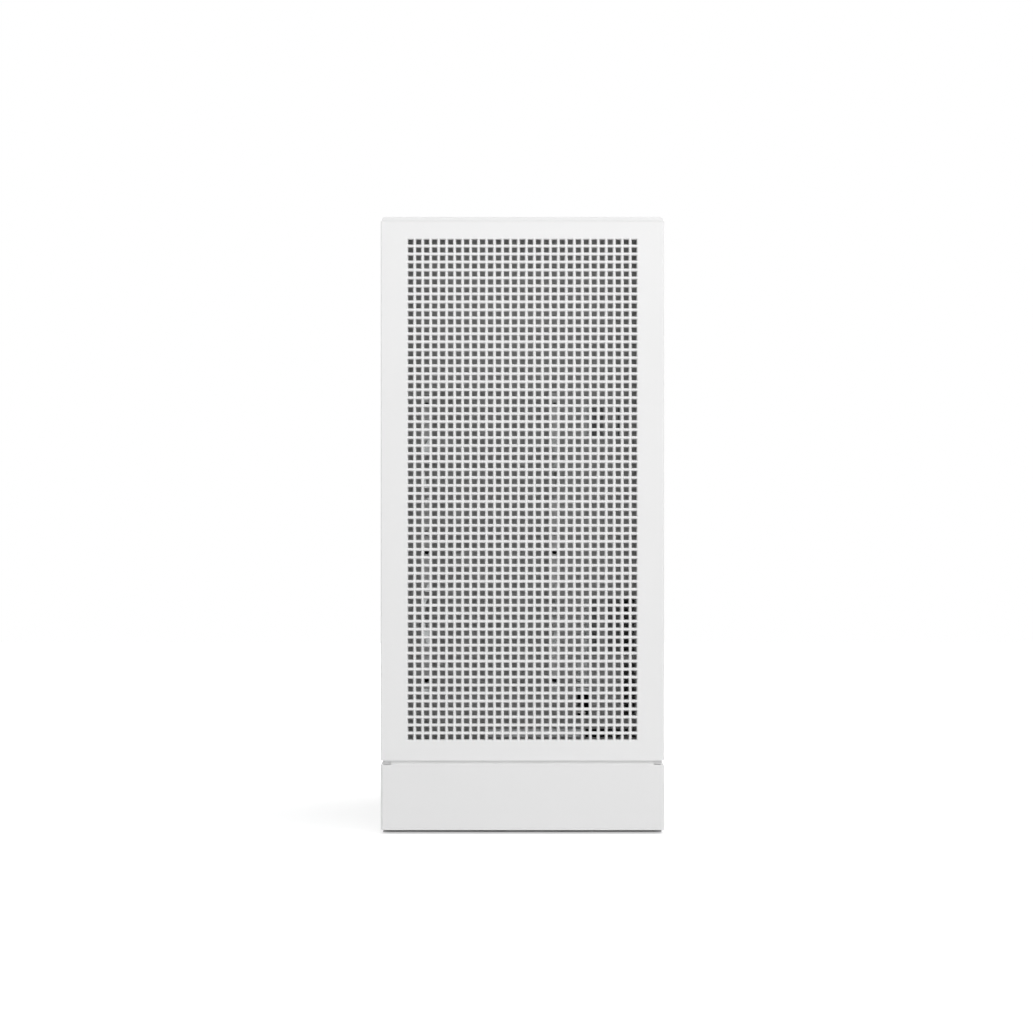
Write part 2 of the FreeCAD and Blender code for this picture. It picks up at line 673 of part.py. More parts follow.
def pierced_sheet(name):
    """Moulded sheet with square holes that narrow towards the back, and chamfered long edges.

    It is made as bands of rows that share their edges, so that each flat face stays small.
    """
    wide = number(side)
    low = number(panel_low)
    high = number(f"{lid_low} - clear_fit / 3")
    thick = number("mesh_thick")
    edge = number("mesh_edge")
    pitch = number("hole_pitch")
    columns = int(number("hole_columns"))
    rows = int(number("hole_rows"))
    band_rows = int(number("rows_per_band"))
    lift = number("field_lift") + (low + high) / 2
    corners = {}
    edges = {}

    def corner(point):
        if point not in corners:
            corners[point] = Part.Vertex(*point)
        return corners[point]

    def side_of(start, end):
        key = (min(start, end), max(start, end))
        if key not in edges:
            edges[key] = Part.Edge(corner(key[0]), corner(key[1]))
        return edges[key]

    def loop(points):
        turned = points[1:] + points[:1]
        return Part.Wire([side_of(start, end) for start, end in zip(points, turned)])

    def face(outer, inner, outward):
        wires = [loop(outer)] + [loop(points) for points in inner]
        if inner:
            made = Part.makeFace(wires, "Part::FaceMakerBullseye")
        else:
            made = Part.Face(wires[0])
        if made.normalAt(0.5, 0.5).dot(outward) < 0:
            made.reverse()
        return made

    def square(centre_x, centre_z, size, depth):
        half = size / 2
        near = round(centre_x - half, 6)
        far = round(centre_x + half, 6)
        bottom = round(centre_z - half, 6)
        top = round(centre_z + half, 6)
        return [(near, depth, bottom), (far, depth, bottom), (far, depth, top), (near, depth, top)]

    def column_z(row):
        return lift + (row - (rows - 1) / 2) * pitch

    borders = [low]
    for row in range(band_rows, rows, band_rows):
        borders.append(round(column_z(row) - pitch / 2, 6))
    borders.append(high)
    # the section across the sheet: front flat, two chamfers, two sides and the back
    section = [(-wide + edge, 0.0), (wide - edge, 0.0), (wide, edge), (wide, thick), (-wide, thick),
               (-wide, edge)]
    faces = []
    for band, (bottom, top) in enumerate(zip(borders, borders[1:])):
        rows_here = range(band * band_rows, min((band + 1) * band_rows, rows))
        middles = [((column - (columns - 1) / 2) * pitch, column_z(row))
                   for column in range(columns) for row in rows_here]
        mouths = [square(x, z, number("hole_mouth"), 0.0) for x, z in middles]
        throats = [square(x, z, number("hole_throat"), thick) for x, z in middles]
        strips = zip(section, section[1:] + section[:1])
        for index, ((x_one, y_one), (x_two, y_two)) in enumerate(strips):
            outer = [(x_one, y_one, bottom), (x_two, y_two, bottom), (x_two, y_two, top),
                     (x_one, y_one, top)]
            outward = Vector(y_two - y_one, x_one - x_two, 0)
            inner = mouths if index == 0 else throats if index == 3 else []
            faces.append(face(outer, inner, outward))
        for (x, z), mouth, throat in zip(middles, mouths, throats):
            for index in range(4):
                after = (index + 1) % 4
                wall = [mouth[index], mouth[after], throat[after], throat[index]]
                half_x = (mouth[index][0] + mouth[after][0]) / 2
                half_z = (mouth[index][2] + mouth[after][2]) / 2
                faces.append(face(wall, [], Vector(x - half_x, 0, z - half_z)))
    for height, outward in ((low, Vector(0, 0, -1)), (high, Vector(0, 0, 1))):
        faces.append(face([(x, y, height) for x, y in section], [], outward))
    made = doc.addObject("Part::Feature", name)
    made.Shape = Part.Solid(Part.Shell(faces))
    made.Placement = Placement(Vector(0, number(front), 0), Rotation())
    return made


def front_panel_frame():
    """Rim behind the pierced sheet, with two cross ribs and four bosses for the snap studs."""
    made = body("rim_body")
    wall = "panel_frame_wall"
    near = f"({front} + mesh_thick)"
    far = f"({plate_front} - clear_fit)"
    outer_x = f"({side} - 1)"
    low = f"({panel_low} + 1)"
    high = f"({lid_low} - 1)"
    face = sketch(made, "rim_outer", "XZ_Plane")
    rounded(face, (f"-{outer_x}", outer_x), (low, high), "skirt_round", "abcd")
    pad(made, "rim_block", face, f"{far} - {near}", reverse=True)
    hollow = sketch(made, "rim_inner", "XZ_Plane")
    rounded(hollow, (f"-{outer_x} + {wall}", f"{outer_x} - {wall}"), (f"{low} + {wall}", f"{high} - {wall}"),
            "skirt_round", "abcd")
    pocket(made, "rim_hollow", hollow, f"{far} - {near}", reverse=False)
    seat(made, y=near)
    bosses = []
    stud_x = f"({frame_side} - stud_inset)"
    for row, height in stud_heights():
        for hand, sign in (("left", "-"), ("right", "")):
            bosses.append(rod("rim_boss_%s_%s" % (hand, row), "y", (sign + stud_x, near, height),
                              f"{far} - {near}", "stud_boss"))
            low_x, high_x = (f"-{outer_x} + 1", f"-{stud_x}") if sign else (stud_x, f"{outer_x} - 1")
            bosses.append(box("rim_web_%s_%s" % (hand, row), (low_x, high_x), (near, far),
                              (f"{height} - 1.2", f"{height} + 1.2")))
    studs = snap_studs("rim_stud", stud_spots(), far, "clear_fit + sheet_thick + 2")
    return group("front_panel_frame", fuse("rim_whole", made, *bosses), *studs)


def stud_spots():
    """Places (x, z) of the front panel's four snap studs."""
    stud_x = f"({frame_side} - stud_inset)"
    return [(sign + stud_x, height) for row, height in stud_heights() for sign in ("-", "")]


def snap_studs(name, spots, start, length):
    """Round-nosed snap studs along y, one at each (x, z) spot."""
    studs = []
    for index, (x, z) in enumerate(spots):
        pin = rod("%s_pin_%d" % (name, index), "y", (x, start, z), length, "stud_radius - 0.3")
        nose = cone("%s_nose_%d" % (name, index), "y", (x, f"{start} + {length}", z), "2",
                    "stud_radius - 0.3", "stud_radius - 1.2")
        studs.append(fuse("%s_%d" % (name, index), pin, nose))
    return studs


def intake_filter():
    """Fine dust sheet over the fan window, in a thin rim."""
    half_w = "(window_width / 2 + 2)"
    half_h = "(window_height / 2 + 1)"
    return box("intake_filter", (f"front_fan_side - {half_w}", f"front_fan_side + {half_w}"),
               (f"{plate_front} - 0.7", plate_front), (f"{fans_mid} - {half_h}", f"{fans_mid} + {half_h}"))


# ---------------------------------------------------------------- lid and front ports

def lid_openings():
    """Names and places along y of the button, sockets and jack at the lid's right front corner."""
    return (("button", f"({plate_front} + 26)"), ("usb_one", f"({plate_front} + 50)"),
            ("usb_two", f"({plate_front} + 70)"), ("usb_c", f"({plate_front} + 86)"),
            ("jack", f"({plate_front} + 100)"))


def roof_strip(name, start, length):
    """Length of the top sheet's rounded section, from start along y."""
    made = body(name)
    edge = f"({side} - lid_inset)"
    profile = sketch(made, name + "_profile", "XZ_Plane")
    rounded(profile, (f"-{edge}", edge), (lid_low, "case_height"), "lid_round", "cd")
    pad(made, name + "_block", profile, length, reverse=True)
    return seat(made, y=start)


def top_panel():
    """Removable lid behind the top cover, with two columns of long vent slots."""
    start = f"({cover_back} + clear_fit)"
    made = roof_strip("top_panel", start, f"{back} - {start}")
    plan = sketch(made, "lid_slots", "XY_Plane")
    near = "(vent_pitch + 1)"
    for index, (low, high) in enumerate((("-92", "-20"), ("-10", "62"))):
        outline(plan,
                [(low, near), (high, near), (high, f"{near} + vent_wide"), (low, f"{near} + vent_wide")],
                "slot%d" % index)
    first = pocket(made, "lid_slot", plan, "case_height + 5", reverse=True)
    doc.recompute()
    row = made.newObject("PartDesign::LinearPattern", "lid_slot_row")
    row.Originals = [first]
    row.Direction = (plan, ["V_Axis"])
    rows = int(number("vent_rows"))
    row.Length = (rows - 1) * number("vent_pitch")
    row.Occurrences = rows
    made.Tip = row
    return made


def top_cover():
    """Fixed front part of the top, on a low seat, with openings for the button, sockets and jack."""
    made = roof_strip("cover_strip", front, "cover_depth")
    base = box("cover_seat", (f"-{frame_side} + 4", f"{frame_side} - 4"),
               (f"{plate_front} + 2", f"{cover_back} - 2"),
               (frame_top, lid_low))
    places = dict(lid_openings())
    through = (f"({frame_top} - 1)", "(case_height + 1)")
    tools = [rod("cover_button_hole", "z", ("ports_side", places["button"], through[0]),
                 f"{through[1]} - {through[0]}",
                 "button_radius + clear_fit")]
    for name in ("usb_one", "usb_two"):
        tools.append(box("cover_" + name, ("ports_side - 3.6", "ports_side + 3.6"),
                         (f"{places[name]} - 7.3", f"{places[name]} + 7.3"), through))
    tools.append(box("cover_usb_c", ("ports_side - 2.3", "ports_side + 2.3"),
                     (f"{places['usb_c']} - 5.2", f"{places['usb_c']} + 5.2"), through))
    tools.append(rod("cover_jack_hole", "z", ("ports_side", places["jack"], through[0]),
                     f"{through[1]} - {through[0]}",
                     "4.3"))
    return cut("top_cover", fuse("cover_whole", made, base), *tools)


def top_filter():
    """Thin dust sheet under the lid's vent slots."""
    return box("top_filter", ("-95", "65"),
               (f"{cover_back} + 3", f"{cover_back} + vent_pitch * (vent_rows + 1)"),
               (f"{lid_low} - 0.25", lid_low))


def port_block():
    """Holder under the lid for the front sockets, with wells for the button, jack and sockets."""
    places = dict(lid_openings())
    block = box("block_body", ("ports_side - 14", "ports_side + 14"),
                (f"{plate_front} + 12", f"{plate_front} + 110"),
                (f"{roof_low} - 16", frame_top))
    tools = [rod("block_button_well", "z", ("ports_side", places["button"], f"{roof_low} - 12"), "30",
                 "button_radius + clear_fit")]
    for name in ("usb_one", "usb_two"):
        tools.append(box("block_" + name, ("ports_side - 3.4", "ports_side + 3.4"),
                         (f"{places[name]} - 7", f"{places[name]} + 7"), (f"{roof_low} - 14", "case_height")))
    tools.append(box("block_usb_c", ("ports_side - 2.1", "ports_side + 2.1"),
                     (f"{places['usb_c']} - 5", f"{places['usb_c']} + 5"),
                     (f"{roof_low} - 10", "case_height")))
    tools.append(rod("block_jack_well", "z", ("ports_side", places["jack"], f"{roof_low} - 17"), "40", "4"))
    rim = box("block_rim", ("ports_side - 18", "ports_side + 18"),
              (f"{plate_front} + 8", f"{plate_front} + 114"),
              (f"{roof_low} - 2", roof_low))
    return cut("port_block", fuse("block_whole", block, rim), *tools)


def front_ports():
    """Two wide sockets and one small one: shells with a tongue inside, seated in the port block."""
    places = dict(lid_openings())
    pieces = []
    for name, half_y, half_x, low, tongue in (("usb_one", 7, 3.4, 14, 1.0), ("usb_two", 7, 3.4, 14, 1.0),
                                              ("usb_c", 5, 2.1, 10, 0.4)):
        outer = box(name + "_shell", (f"ports_side - {half_x}", f"ports_side + {half_x}"),
                    (f"{places[name]} - {half_y}", f"{places[name]} + {half_y}"),
                    (f"{roof_low} - {low}", "case_height - 0.4"))
        inner = box(name + "_space", (f"ports_side - {half_x} + 0.5", f"ports_side + {half_x} - 0.5"),
                    (f"{places[name]} - {half_y} + 0.5", f"{places[name]} + {half_y} - 0.5"),
                    (f"{roof_low} - {low} + 1", "case_height"))
        tab = box(name + "_tongue", (f"ports_side - {tongue}", f"ports_side + {tongue}"),
                  (f"{places[name]} - {half_y} + 1.5", f"{places[name]} + {half_y} - 1.5"),
                  (f"{roof_low} - {low} + 1", "case_height - 2"))
        pieces.append(fuse(name + "_socket", cut(name + "_cup", outer, inner), tab))
    return group("front_ports", *pieces)


def headset_jack():
    """Round audio socket with its plug bore."""
    places = dict(lid_openings())
    outer = rod("jack_outer", "z", ("ports_side", places["jack"], f"{roof_low} - 16"),
                f"case_height - 0.4 - ({roof_low} - 16)", "4")
    bore = rod("jack_hole", "z", ("ports_side", places["jack"], "case_height - 0.4 - jack_depth"),
               "jack_depth + 1", "jack_bore")
    return cut("headset_jack", outer, bore)


def power_button():
    """Round button in its well, with a guide stem below."""
    places = dict(lid_openings())
    made = body("button_body")
    face = sketch(made, "button_face", "XY_Plane")
    disc(face, "0", "0", "button_radius")
    cap = pad(made, "button_cap", face, f"case_height - button_drop - ({roof_low} - 5)")
    doc.recompute()
    edge = made.newObject("PartDesign::Chamfer", "button_edge")
    top = number(f"case_height - button_drop - ({roof_low} - 5)")
    names = ["Edge%d" % (index + 1) for index, found in enumerate(cap.Shape.Edges)
             if abs(found.BoundBox.ZMin - top) < 0.01]
    edge.Base = (cap, names)
    edge.Size = 0.6
    made.Tip = edge
    seat(made, "ports_side", places["button"], f"{roof_low} - 5")
    stem = rod("button_stem", "z", ("ports_side", places["button"], f"{roof_low} - 9.5"), "5", "2")
    return fuse("power_button", made, stem)


# ---------------------------------------------------------------- side panels

def glass_pane():
    made = body("glass_pane")
    face = sketch(made, "glass_face", "YZ_Plane")
    rounded(face, (f"{plate_front} + clear_fit", back), (panel_low, panel_top), "lid_round")
    pad(made, "glass_block", face, "glass_thick")
    return seat(made, x=f"-{side}")


def side_spots():
    """Places (y, z) of a side panel's four snap studs."""
    near = f"({plate_front} + 22)"
    far = f"({rear_in} - 22)"
    low = f"({panel_low} + 7)"
    high = f"({roof_low} - 8)"
    return ((near, low), (far, low), (near, high), (far, high))


def glass_rails():
    """Steel strips bonded inside the glass along its top and bottom, with inward studs."""
    skin = f"(-{side} + glass_thick)"
    inner = f"(-{frame_side} - clear_fit)"
    strips = []
    for label, low, high in (("low", panel_low, f"{panel_low} + rail_width"),
                             ("high", f"{panel_top} - rail_width", panel_top)):
        strips.append(box("rail_" + label, (skin, inner), (f"{plate_front} + 2", f"{back} - 2"), (low, high)))
    return group("glass_rails", *strips, *side_studs("left_stud", -1))


def side_ledges():
    """Steel strips on the chassis that the side panels snap on to, pierced for their studs."""
    strips = []
    for hand, sign in (("left", -1), ("right", 1)):
        inner = f"{sign} * ({frame_side} - 1)"
        outer = f"{sign} * {frame_side}"
        across = (outer, inner) if sign < 0 else (inner, outer)
        for label, low, high in (("low", panel_low, f"{panel_low} + 14"),
                                 ("high", f"{roof_low} - 16", roof_low)):
            strip = box("ledge_sheet_%s_%s" % (hand, label), across, (plate_back, rear_in), (low, high))
            holes = []
            spots = side_spots()[:2] if label == "low" else side_spots()[2:]
            for index, (y, z) in enumerate(spots):
                holes.append(rod("ledge_hole_%s_%s_%d" % (hand, label, index), "x",
                                 (f"{across[0]} - 1", y, z),
                                 "4", "stud_radius + clear_fit"))
            strips.append(cut("ledge_%s_%s" % (hand, label), strip, *holes))
    return group("side_ledges", *strips)


def side_studs(name, sign):
    """Snap studs that reach inward from a side panel through the chassis ledges."""
    studs = []
    skin = f"{sign} * ({side} - glass_thick - 1.7)" if sign < 0 else f"({side} - sheet_thick)"
    end = f"{sign} * ({frame_side} - stud_reach)"
    for index, (y, z) in enumerate(side_spots()):
        if sign < 0:
            studs.append(rod("%s_%d" % (name, index), "x", (skin, y, z), f"{end} - ({skin})",
                             "stud_radius - 0.3"))
        else:
            studs.append(rod("%s_%d" % (name, index), "x", (end, y, z), f"{skin} - ({end})",
                             "stud_radius - 0.3"))
    return studs


def steel_side_panel():
    """Steel right side: an outer sheet with edges folded inward all round."""
    outer = box("side_sheet", (f"{frame_side} + clear_fit", side), (f"{plate_front} + clear_fit", back),
                (panel_low, panel_top))
    inner = box("side_hollow", (frame_side, f"{side} - sheet_thick"),
                (f"{plate_front} + clear_fit + sheet_thick", f"{back} - sheet_thick"),
                (f"{panel_low} + sheet_thick", f"{panel_top} - sheet_thick"))
    return group("steel_side_panel", cut("side_tray", outer, inner), *side_studs("right_stud", 1))


# ---------------------------------------------------------------- power supply

def psu_housing():
    """Steel case of the power supply: a hollow box with a fan opening below and vents behind."""
    half = "supply_width / 2"
    outer = box("supply_outer", (f"-{half}", half), (supply_front, rear_in), (supply_low, supply_high))
    inner = box("supply_inner", (f"-{half} + 1", f"{half} - 1"), (f"{supply_front} + 1", f"{rear_in} - 1"),
                (f"{supply_low} + 1", f"{supply_high} - 1"))
    tools = [inner,
             rod("supply_fan_hole", "z", ("0", supply_mid, f"{supply_low} - 1"), "3", "supply_fan - 1")]
    for row in range(6):
        for column in range(8):
            low_x = f"(-62 + {column * 11.0})"
            low_z = f"({supply_low} + 12 + {row * 11.0})"
            tools.append(box("supply_vent_%d_%d" % (row, column), (low_x, f"{low_x} + 8.6"),
                             (f"{rear_in} - 2", f"{rear_in} + 1"), (low_z, f"{low_z} + 8.6")))
    tools.append(box("supply_inlet_hole", ("31", "61"), (f"{rear_in} - 2", f"{rear_in} + 1"),
                     (f"{supply_low} + 10", f"{supply_low} + 34")))
    tools.append(box("supply_switch_hole", ("36.5", "57.5"), (f"{rear_in} - 2", f"{rear_in} + 1"),
                     (f"{supply_low} + 44", f"{supply_low} + 60")))
    return cut("psu_housing", outer, *tools)


def psu_guard():
    """Wire guard over the supply's fan: three rings on a cross, and a motor mount above it."""
    height = f"({supply_low} + 2.4)"
    wires = [ring("guard_ring_%d" % index, "z", ("0", supply_mid, height), radius, "0.9")
             for index, radius in enumerate(("22", "38", "54"))]
    wires.append(rod("guard_bar_x", "x", ("-62", supply_mid, height), "124", "0.9"))
    wires.append(rod("guard_bar_y", "y", ("0", f"{supply_mid} - 62", height), "124", "0.9"))
    wires.append(rod("guard_mount", "z", ("0", supply_mid, f"{supply_low} + 1"), "3.2", "19"))
    for index, (dx, dy) in enumerate(((-62, 0), (62, 0), (0, -62), (0, 62))):
        wires.append(rod("guard_foot_%d" % index, "z",
                         (f"{dx}", f"{supply_mid} + {dy}", f"{supply_low} + 1"), "2.2",
                         "2.6"))
    return fuse("psu_guard", *wires)


def psu_board():
    """Circuit board under the supply's roof with heat sinks, a transformer and two large capacitors."""
    high = f"({supply_high} - 5)"
    plate = box("supply_plate", ("-70", "70"), (f"{supply_front} + 4", f"{rear_in} - 34"),
                (f"{high} - 1.6", high))
    parts = [plate]
    for index, x in enumerate((-44, 26)):
        parts.append(box("supply_sink_%d" % index, (f"{x}", f"{x} + 4"),
                         (f"{supply_front} + 14", f"{rear_in} - 44"),
                         (f"{high} - 34", f"{high} - 1.6")))
    parts.append(box("supply_coil", ("-26", "8"), (f"{supply_mid} - 18", f"{supply_mid} + 16"),
                     (f"{high} - 30", f"{high} - 1.6")))
    for index, y in enumerate((-44, 8)):
        parts.append(rod("supply_can_%d" % index, "z", ("48", f"{supply_mid} + {y}", f"{high} - 30"),
                         "28.4", "11"))
    for index, (x, y) in enumerate(((-64, 0), (64, 0), (-64, 1), (64, 1))):
        place = f"{supply_front} + 10" if y == 0 else f"{rear_in} - 40"
        parts.append(rod("supply_post_%d" % index, "z", (f"{x}", place, high), "4", "2.5"))
    return fuse("psu_board", *parts)


def psu_sockets():
    """Appliance inlet, a flanged cup with three flat pins, and the switch frame beside it."""
    flange = box("inlet_flange", ("31", "61"), (f"{rear_in} - 4", f"{rear_out} + 2"),
                 (f"{supply_low} + 10", f"{supply_low} + 34"))
    cup = box("inlet_cup", ("33", "59"), (f"{rear_in} - 20", f"{rear_in} - 4"),
              (f"{supply_low} + 12", f"{supply_low} + 32"))
    well = box("inlet_well", ("34", "58"), (f"{rear_in} - 17", f"{rear_out} + 3"),
               (f"{supply_low} + 13.5", f"{supply_low} + 30.5"))
    pins = []
    for index, (x, z) in enumerate(((39, 21), (46, 25), (53, 21))):
        pins.append(box("inlet_pin_%d" % index, (f"{x} - 1", f"{x} + 1"),
                        (f"{rear_in} - 17", f"{rear_out} - 2"),
                        (f"{supply_low} + {z} - 2", f"{supply_low} + {z} + 2")))
    cup_whole = fuse("inlet_whole", cut("inlet_shell", fuse("inlet_body", flange, cup), well), *pins)
    return group("psu_sockets", cup_whole, switch_bezel())


rocker_pivot = ("47", f"({rear_out} - 1.5)", f"({supply_low} + 52)")


def rocker_axle(name, length, radius):
    """Upright pin through the rocker's pivot line."""
    x, y, z = rocker_pivot
    return rod(name, "z", (x, y, f"{z} - {length} / 2"), length, radius)


def switch_bezel():
    """Bezel and pivot box of the supply's rocker switch."""
    bezel = box("switch_bezel", ("36.5", "57.5"), (f"{rear_in} - 12", f"{rear_out} + 1.5"),
                (f"{supply_low} + 44", f"{supply_low} + 60"))
    space = box("switch_space", ("38", "56"), (f"{rear_in} - 10", f"{rear_out} + 3"),
                (f"{supply_low} + 45.4", f"{supply_low} + 58.6"))
    return cut("switch_frame", bezel, space, rocker_axle("switch_axle_hole", "15", "1.35"))


def psu_rocker():
    """Rocker of the supply's switch, with its face bent about the pivot line."""
    made = body("rocker_body")
    profile = sketch(made, "rocker_profile", "XY_Plane")
    outline(profile,
            [("-8", "-2"), ("-3", "-5"), ("3", "-5"), ("8", "-2"), ("8", "3.4"), ("0", "2"), ("-8", "3.4")])
    pad(made, "rocker_block", profile, "12.4", middle=True)
    seat(made, *rocker_pivot)
    return fuse("psu_rocker", made, rocker_axle("rocker_axle", "14.4", "1.2"))


# ---------------------------------------------------------------- main board

def motherboard():
    """Main circuit board with its power, fan and drive connectors."""
    plate = box("board_plate", (board_face, board_back), (f"{board_rear} - board_depth", board_rear),
                ("board_low", board_top))
    parts = [plate]
    blocks = (("power", 15, 1, 9, 205, 257), ("rails", 12, 200, 214, 292, 301), ("drive", 9, 2, 14, 70, 96),
              ("front_header", 9, 3, 9, 8, 52), ("audio", 9, 200, 212, 8, 14),
              ("usb_header", 10, 2, 12, 130, 152),
              ("fan_header", 8, 84, 96, 294, 299), ("battery", 4, 120, 140, 68, 88))
    for name, tall, near, far, low, high in blocks:
        parts.append(box("board_" + name, (f"{board_face} - {tall}", board_face),
                         (f"{board_edge} + {near}", f"{board_edge} + {far}"),
                         (f"board_low + {low}", f"board_low + {high}")))
    for index in range(10):
        parts.append(rod("board_can_%d" % index, "x",
                         (f"{board_face} - 8", f"{board_edge} + 212", f"board_low + {170 + index * 11}"),
                         "8", "3"))
    for index in range(8):
        parts.append(box("board_choke_%d" % index, (f"{board_face} - 7", board_face),
                         (f"{board_edge} + 181", f"{board_edge} + 189"),
                         (f"board_low + {172 + index * 13}", f"board_low + {182 + index * 13}")))
    return fuse("motherboard", *parts)


def board_standoffs():
    """Threaded spacers between the tray and the main board."""
    spacers = []
    for index, (y,
                z) in enumerate(((10, 10), (132, 10), (236, 10), (10, 162), (132, 162), (236, 162), (10, 290),
                                    (120, 282), (236, 290))):
        at = (board_back, f"{board_edge} + {y}", f"board_low + {z}")
        spacers.append(rod("spacer_%d" % index, "x", at, f"tray_side - {board_back}", "3"))
    return group("board_standoffs", *spacers)


def board_heatsinks():
    """Finned blocks on the voltage stages beside the ports and above the socket, and a chipset plate."""
    blocks = []
    shapes = (("ports", 24, 190, 208, 160, 288), ("top", 10, 112, 168, 278, 291),
              ("chipset", 9, 20, 74, 20, 62),
              ("drive_plate", 6, 84, 172, 142, 164))
    for name, tall, near, far, low, high in shapes:
        block = box("sink_block_" + name, (f"{board_face} - {tall}", board_face),
                    (f"{board_edge} + {near}", f"{board_edge} + {far}"),
                    (f"board_low + {low}", f"board_low + {high}"))
        grooves = []
        steps = 9 if name in ("ports", "chipset") else 3
        span = (high - low) / (steps + 1)
        for index in range(steps):
            middle = low + span * (index + 1)
            grooves.append(box("sink_groove_%s_%d" % (name, index),
                               (f"{board_face} - {tall} - 1", f"{board_face} - {tall} + {tall * 0.35:.2f}"),
                               (f"{board_edge} + {near} - 1", f"{board_edge} + {far} + 1"),
                               (f"board_low + {middle:.2f} - 1.2", f"board_low + {middle:.2f} + 1.2")))
        blocks.append(cut("sink_" + name, block, *grooves))
    return group("board_heatsinks", *blocks)


def rear_ports():
    """Connector blocks on the board's back edge that fill the opening of the back wall."""
    high = f"({board_top} - 6)"
    parts = [box("ports_plate", (f"{board_face} - ports_width", board_face), (rear_in, f"{rear_out}"),
                 (f"{high} - ports_height", high))]
    stack = ((4, 18, 36, "usb"), (24, 38, 36, "usb"), (44, 62, 38, "video"), (68, 84, 30, "net"),
             (90, 104, 36, "usb"),
             (110, 126, 26, "video"), (132, 154, 34, "audio"))
    holes = []
    for index, (low, top, tall, kind) in enumerate(stack):
        parts.append(box("port_block_%d" % index, (f"{board_face} - {tall}", board_face),
                         (f"{board_rear} - 16", f"{rear_out} + 1.5"),
                         (f"{high} - {top}", f"{high} - {low}")))
        count = 3 if kind == "audio" else 2 if kind == "usb" else 1
        gap = tall / count
        for place in range(count):
            near = tall - gap * (place + 0.2)
            far = tall - gap * (place + 0.8)
            if kind == "audio":
                holes.append(rod("port_hole_%d_%d" % (index, place), "y",
                                 (f"{board_face} - {(near + far) / 2:.2f}", f"{rear_in} - 9",
                                  f"{high} - {(low + top) / 2}"),
                                 "16", "3"))
            else:
                holes.append(box("port_hole_%d_%d" % (index, place),
                                 (f"{board_face} - {near:.2f}", f"{board_face} - {far:.2f}"),
                                 (f"{rear_in} - 9", f"{rear_out} + 3"),
                                 (f"{high} - {top} + 1.6", f"{high} - {low} - 1.6")))
    return cut("rear_ports", fuse("ports_whole", *parts), *holes)


def processor():
    """Socket frame with the processor's metal lid."""
    low = "rear_fan_height"
    frame = box("socket_frame", (f"{board_face} - 5", board_face),
                (f"{cooler_mid} - 26", f"{cooler_mid} + 26"),
                (f"{low} - 28", f"{low} + 28"))
    lid = box("processor_lid", (f"{board_face} - 8", f"{board_face} - 5"),
              (f"{cooler_mid} - 17", f"{cooler_mid} + 17"),
              (f"{low} - 17", f"{low} + 17"))
    return fuse("processor", frame, lid)


def cooler_heatsink():
    """Tower cooler: a base on the processor, four pipes, and a stack of fins they pass through."""
    made = body("cooler_heatsink")
    foot = sketch(made, "cooler_foot", "YZ_Plane")
    outline(foot, [("-20", "-20"), ("20", "-20"), ("20", "20"), ("-20", "20")])
    pad(made, "cooler_base", foot, "13", reverse=True)
    pipes = sketch(made, "cooler_pipes", "YZ_Plane")
    for index, z in enumerate((-15, -5, 5, 15)):
        disc(pipes, "0", f"{z}", "pipe_radius", "pipe%s" % "abcd"[index])
    pad(made, "cooler_pipe_pad", pipes, "cooler_reach", reverse=True)
    fin_plane = sketch(made, "fin_shape", "YZ_Plane")
    half = "cooler_depth / 2"
    wide = "cooler_width / 2"
    outline(fin_plane, [(f"-{half}", f"-{wide}"), (half, f"-{wide}"), (half, wide), (f"-{half}", wide)])
    fin_plane.setExpression("AttachmentOffset.Base.z", bind("-(cooler_reach - 1)"))
    fin = pad(made, "cooler_fin", fin_plane, "fin_thick")
    doc.recompute()
    row = made.newObject("PartDesign::LinearPattern", "cooler_fins")
    row.Originals = [fin]
    row.Direction = (foot, ["N_Axis"])
    count = int(number("(cooler_reach - 34) / fin_pitch"))
    row.Length = (count - 1) * SIZES["fin_pitch"]
    row.Occurrences = count
    made.Tip = row
    return seat(made, f"{board_face} - 8", cooler_mid, "rear_fan_height")


def memory_modules():
    """Four memory modules in their sockets: a board edge inside a metal spreader."""
    pieces = []
    for index in range(4):
        y = f"({board_edge} + 46 + {index * 9.5})"
        low = "(board_low + 158)"
        socket = box("memory_socket_%d" % index, (f"{board_face} - 8", board_face), (f"{y} - 3", f"{y} + 3"),
                     (f"{low} - 3", f"{low} + 139"))
        stick = box("memory_stick_%d" % index, (f"{board_face} - 38", f"{board_face} - 8"),
                    (f"{y} - 2.6", f"{y} + 2.6"),
                    (low, f"{low} + 133.3"))
        notch = box("memory_notch_%d" % index, (f"{board_face} - 39", f"{board_face} - 34"),
                    (f"{y} - 4", f"{y} + 4"),
                    (f"{low} + 40", f"{low} + 93"))
        pieces.append(cut("memory_%d" % index, fuse("memory_whole_%d" % index, socket, stick), notch))
    return group("memory_modules", *pieces)


def expansion_slots():
    """Long card slots across the lower half of the main board."""
    slots = []
    for index, (count, length) in enumerate(((1, 89), (3, 89), (5, 89))):
        z = f"(slot_first - {count} * slot_pitch - 1.2)"
        body_box = box("slot_body_%d" % index, (f"{board_face} - 11", board_face),
                       (f"{rear_in} - 50 - {length}", f"{rear_in} - 50"),
                       (f"{z} - 3.7", f"{z} + 3.7"))
        groove = box("slot_groove_%d" % index, (f"{board_face} - 12", f"{board_face} - 3"),
                     (f"{rear_in} - 48 - {length}", f"{rear_in} - 52"), (f"{z} - 1.0", f"{z} + 1.0"))
        slots.append(cut("slot_%d" % index, body_box, groove))
    return group("expansion_slots", *slots)


# ---------------------------------------------------------------- graphics card

card_z = "(slot_first - slot_pitch - 1.2)"
card_far = f"({rear_in} - 1.5)"
card_near = f"({card_far} - card_length)"
card_side = f"({board_face} - 12)"
card_out = f"({card_side} - card_width)"


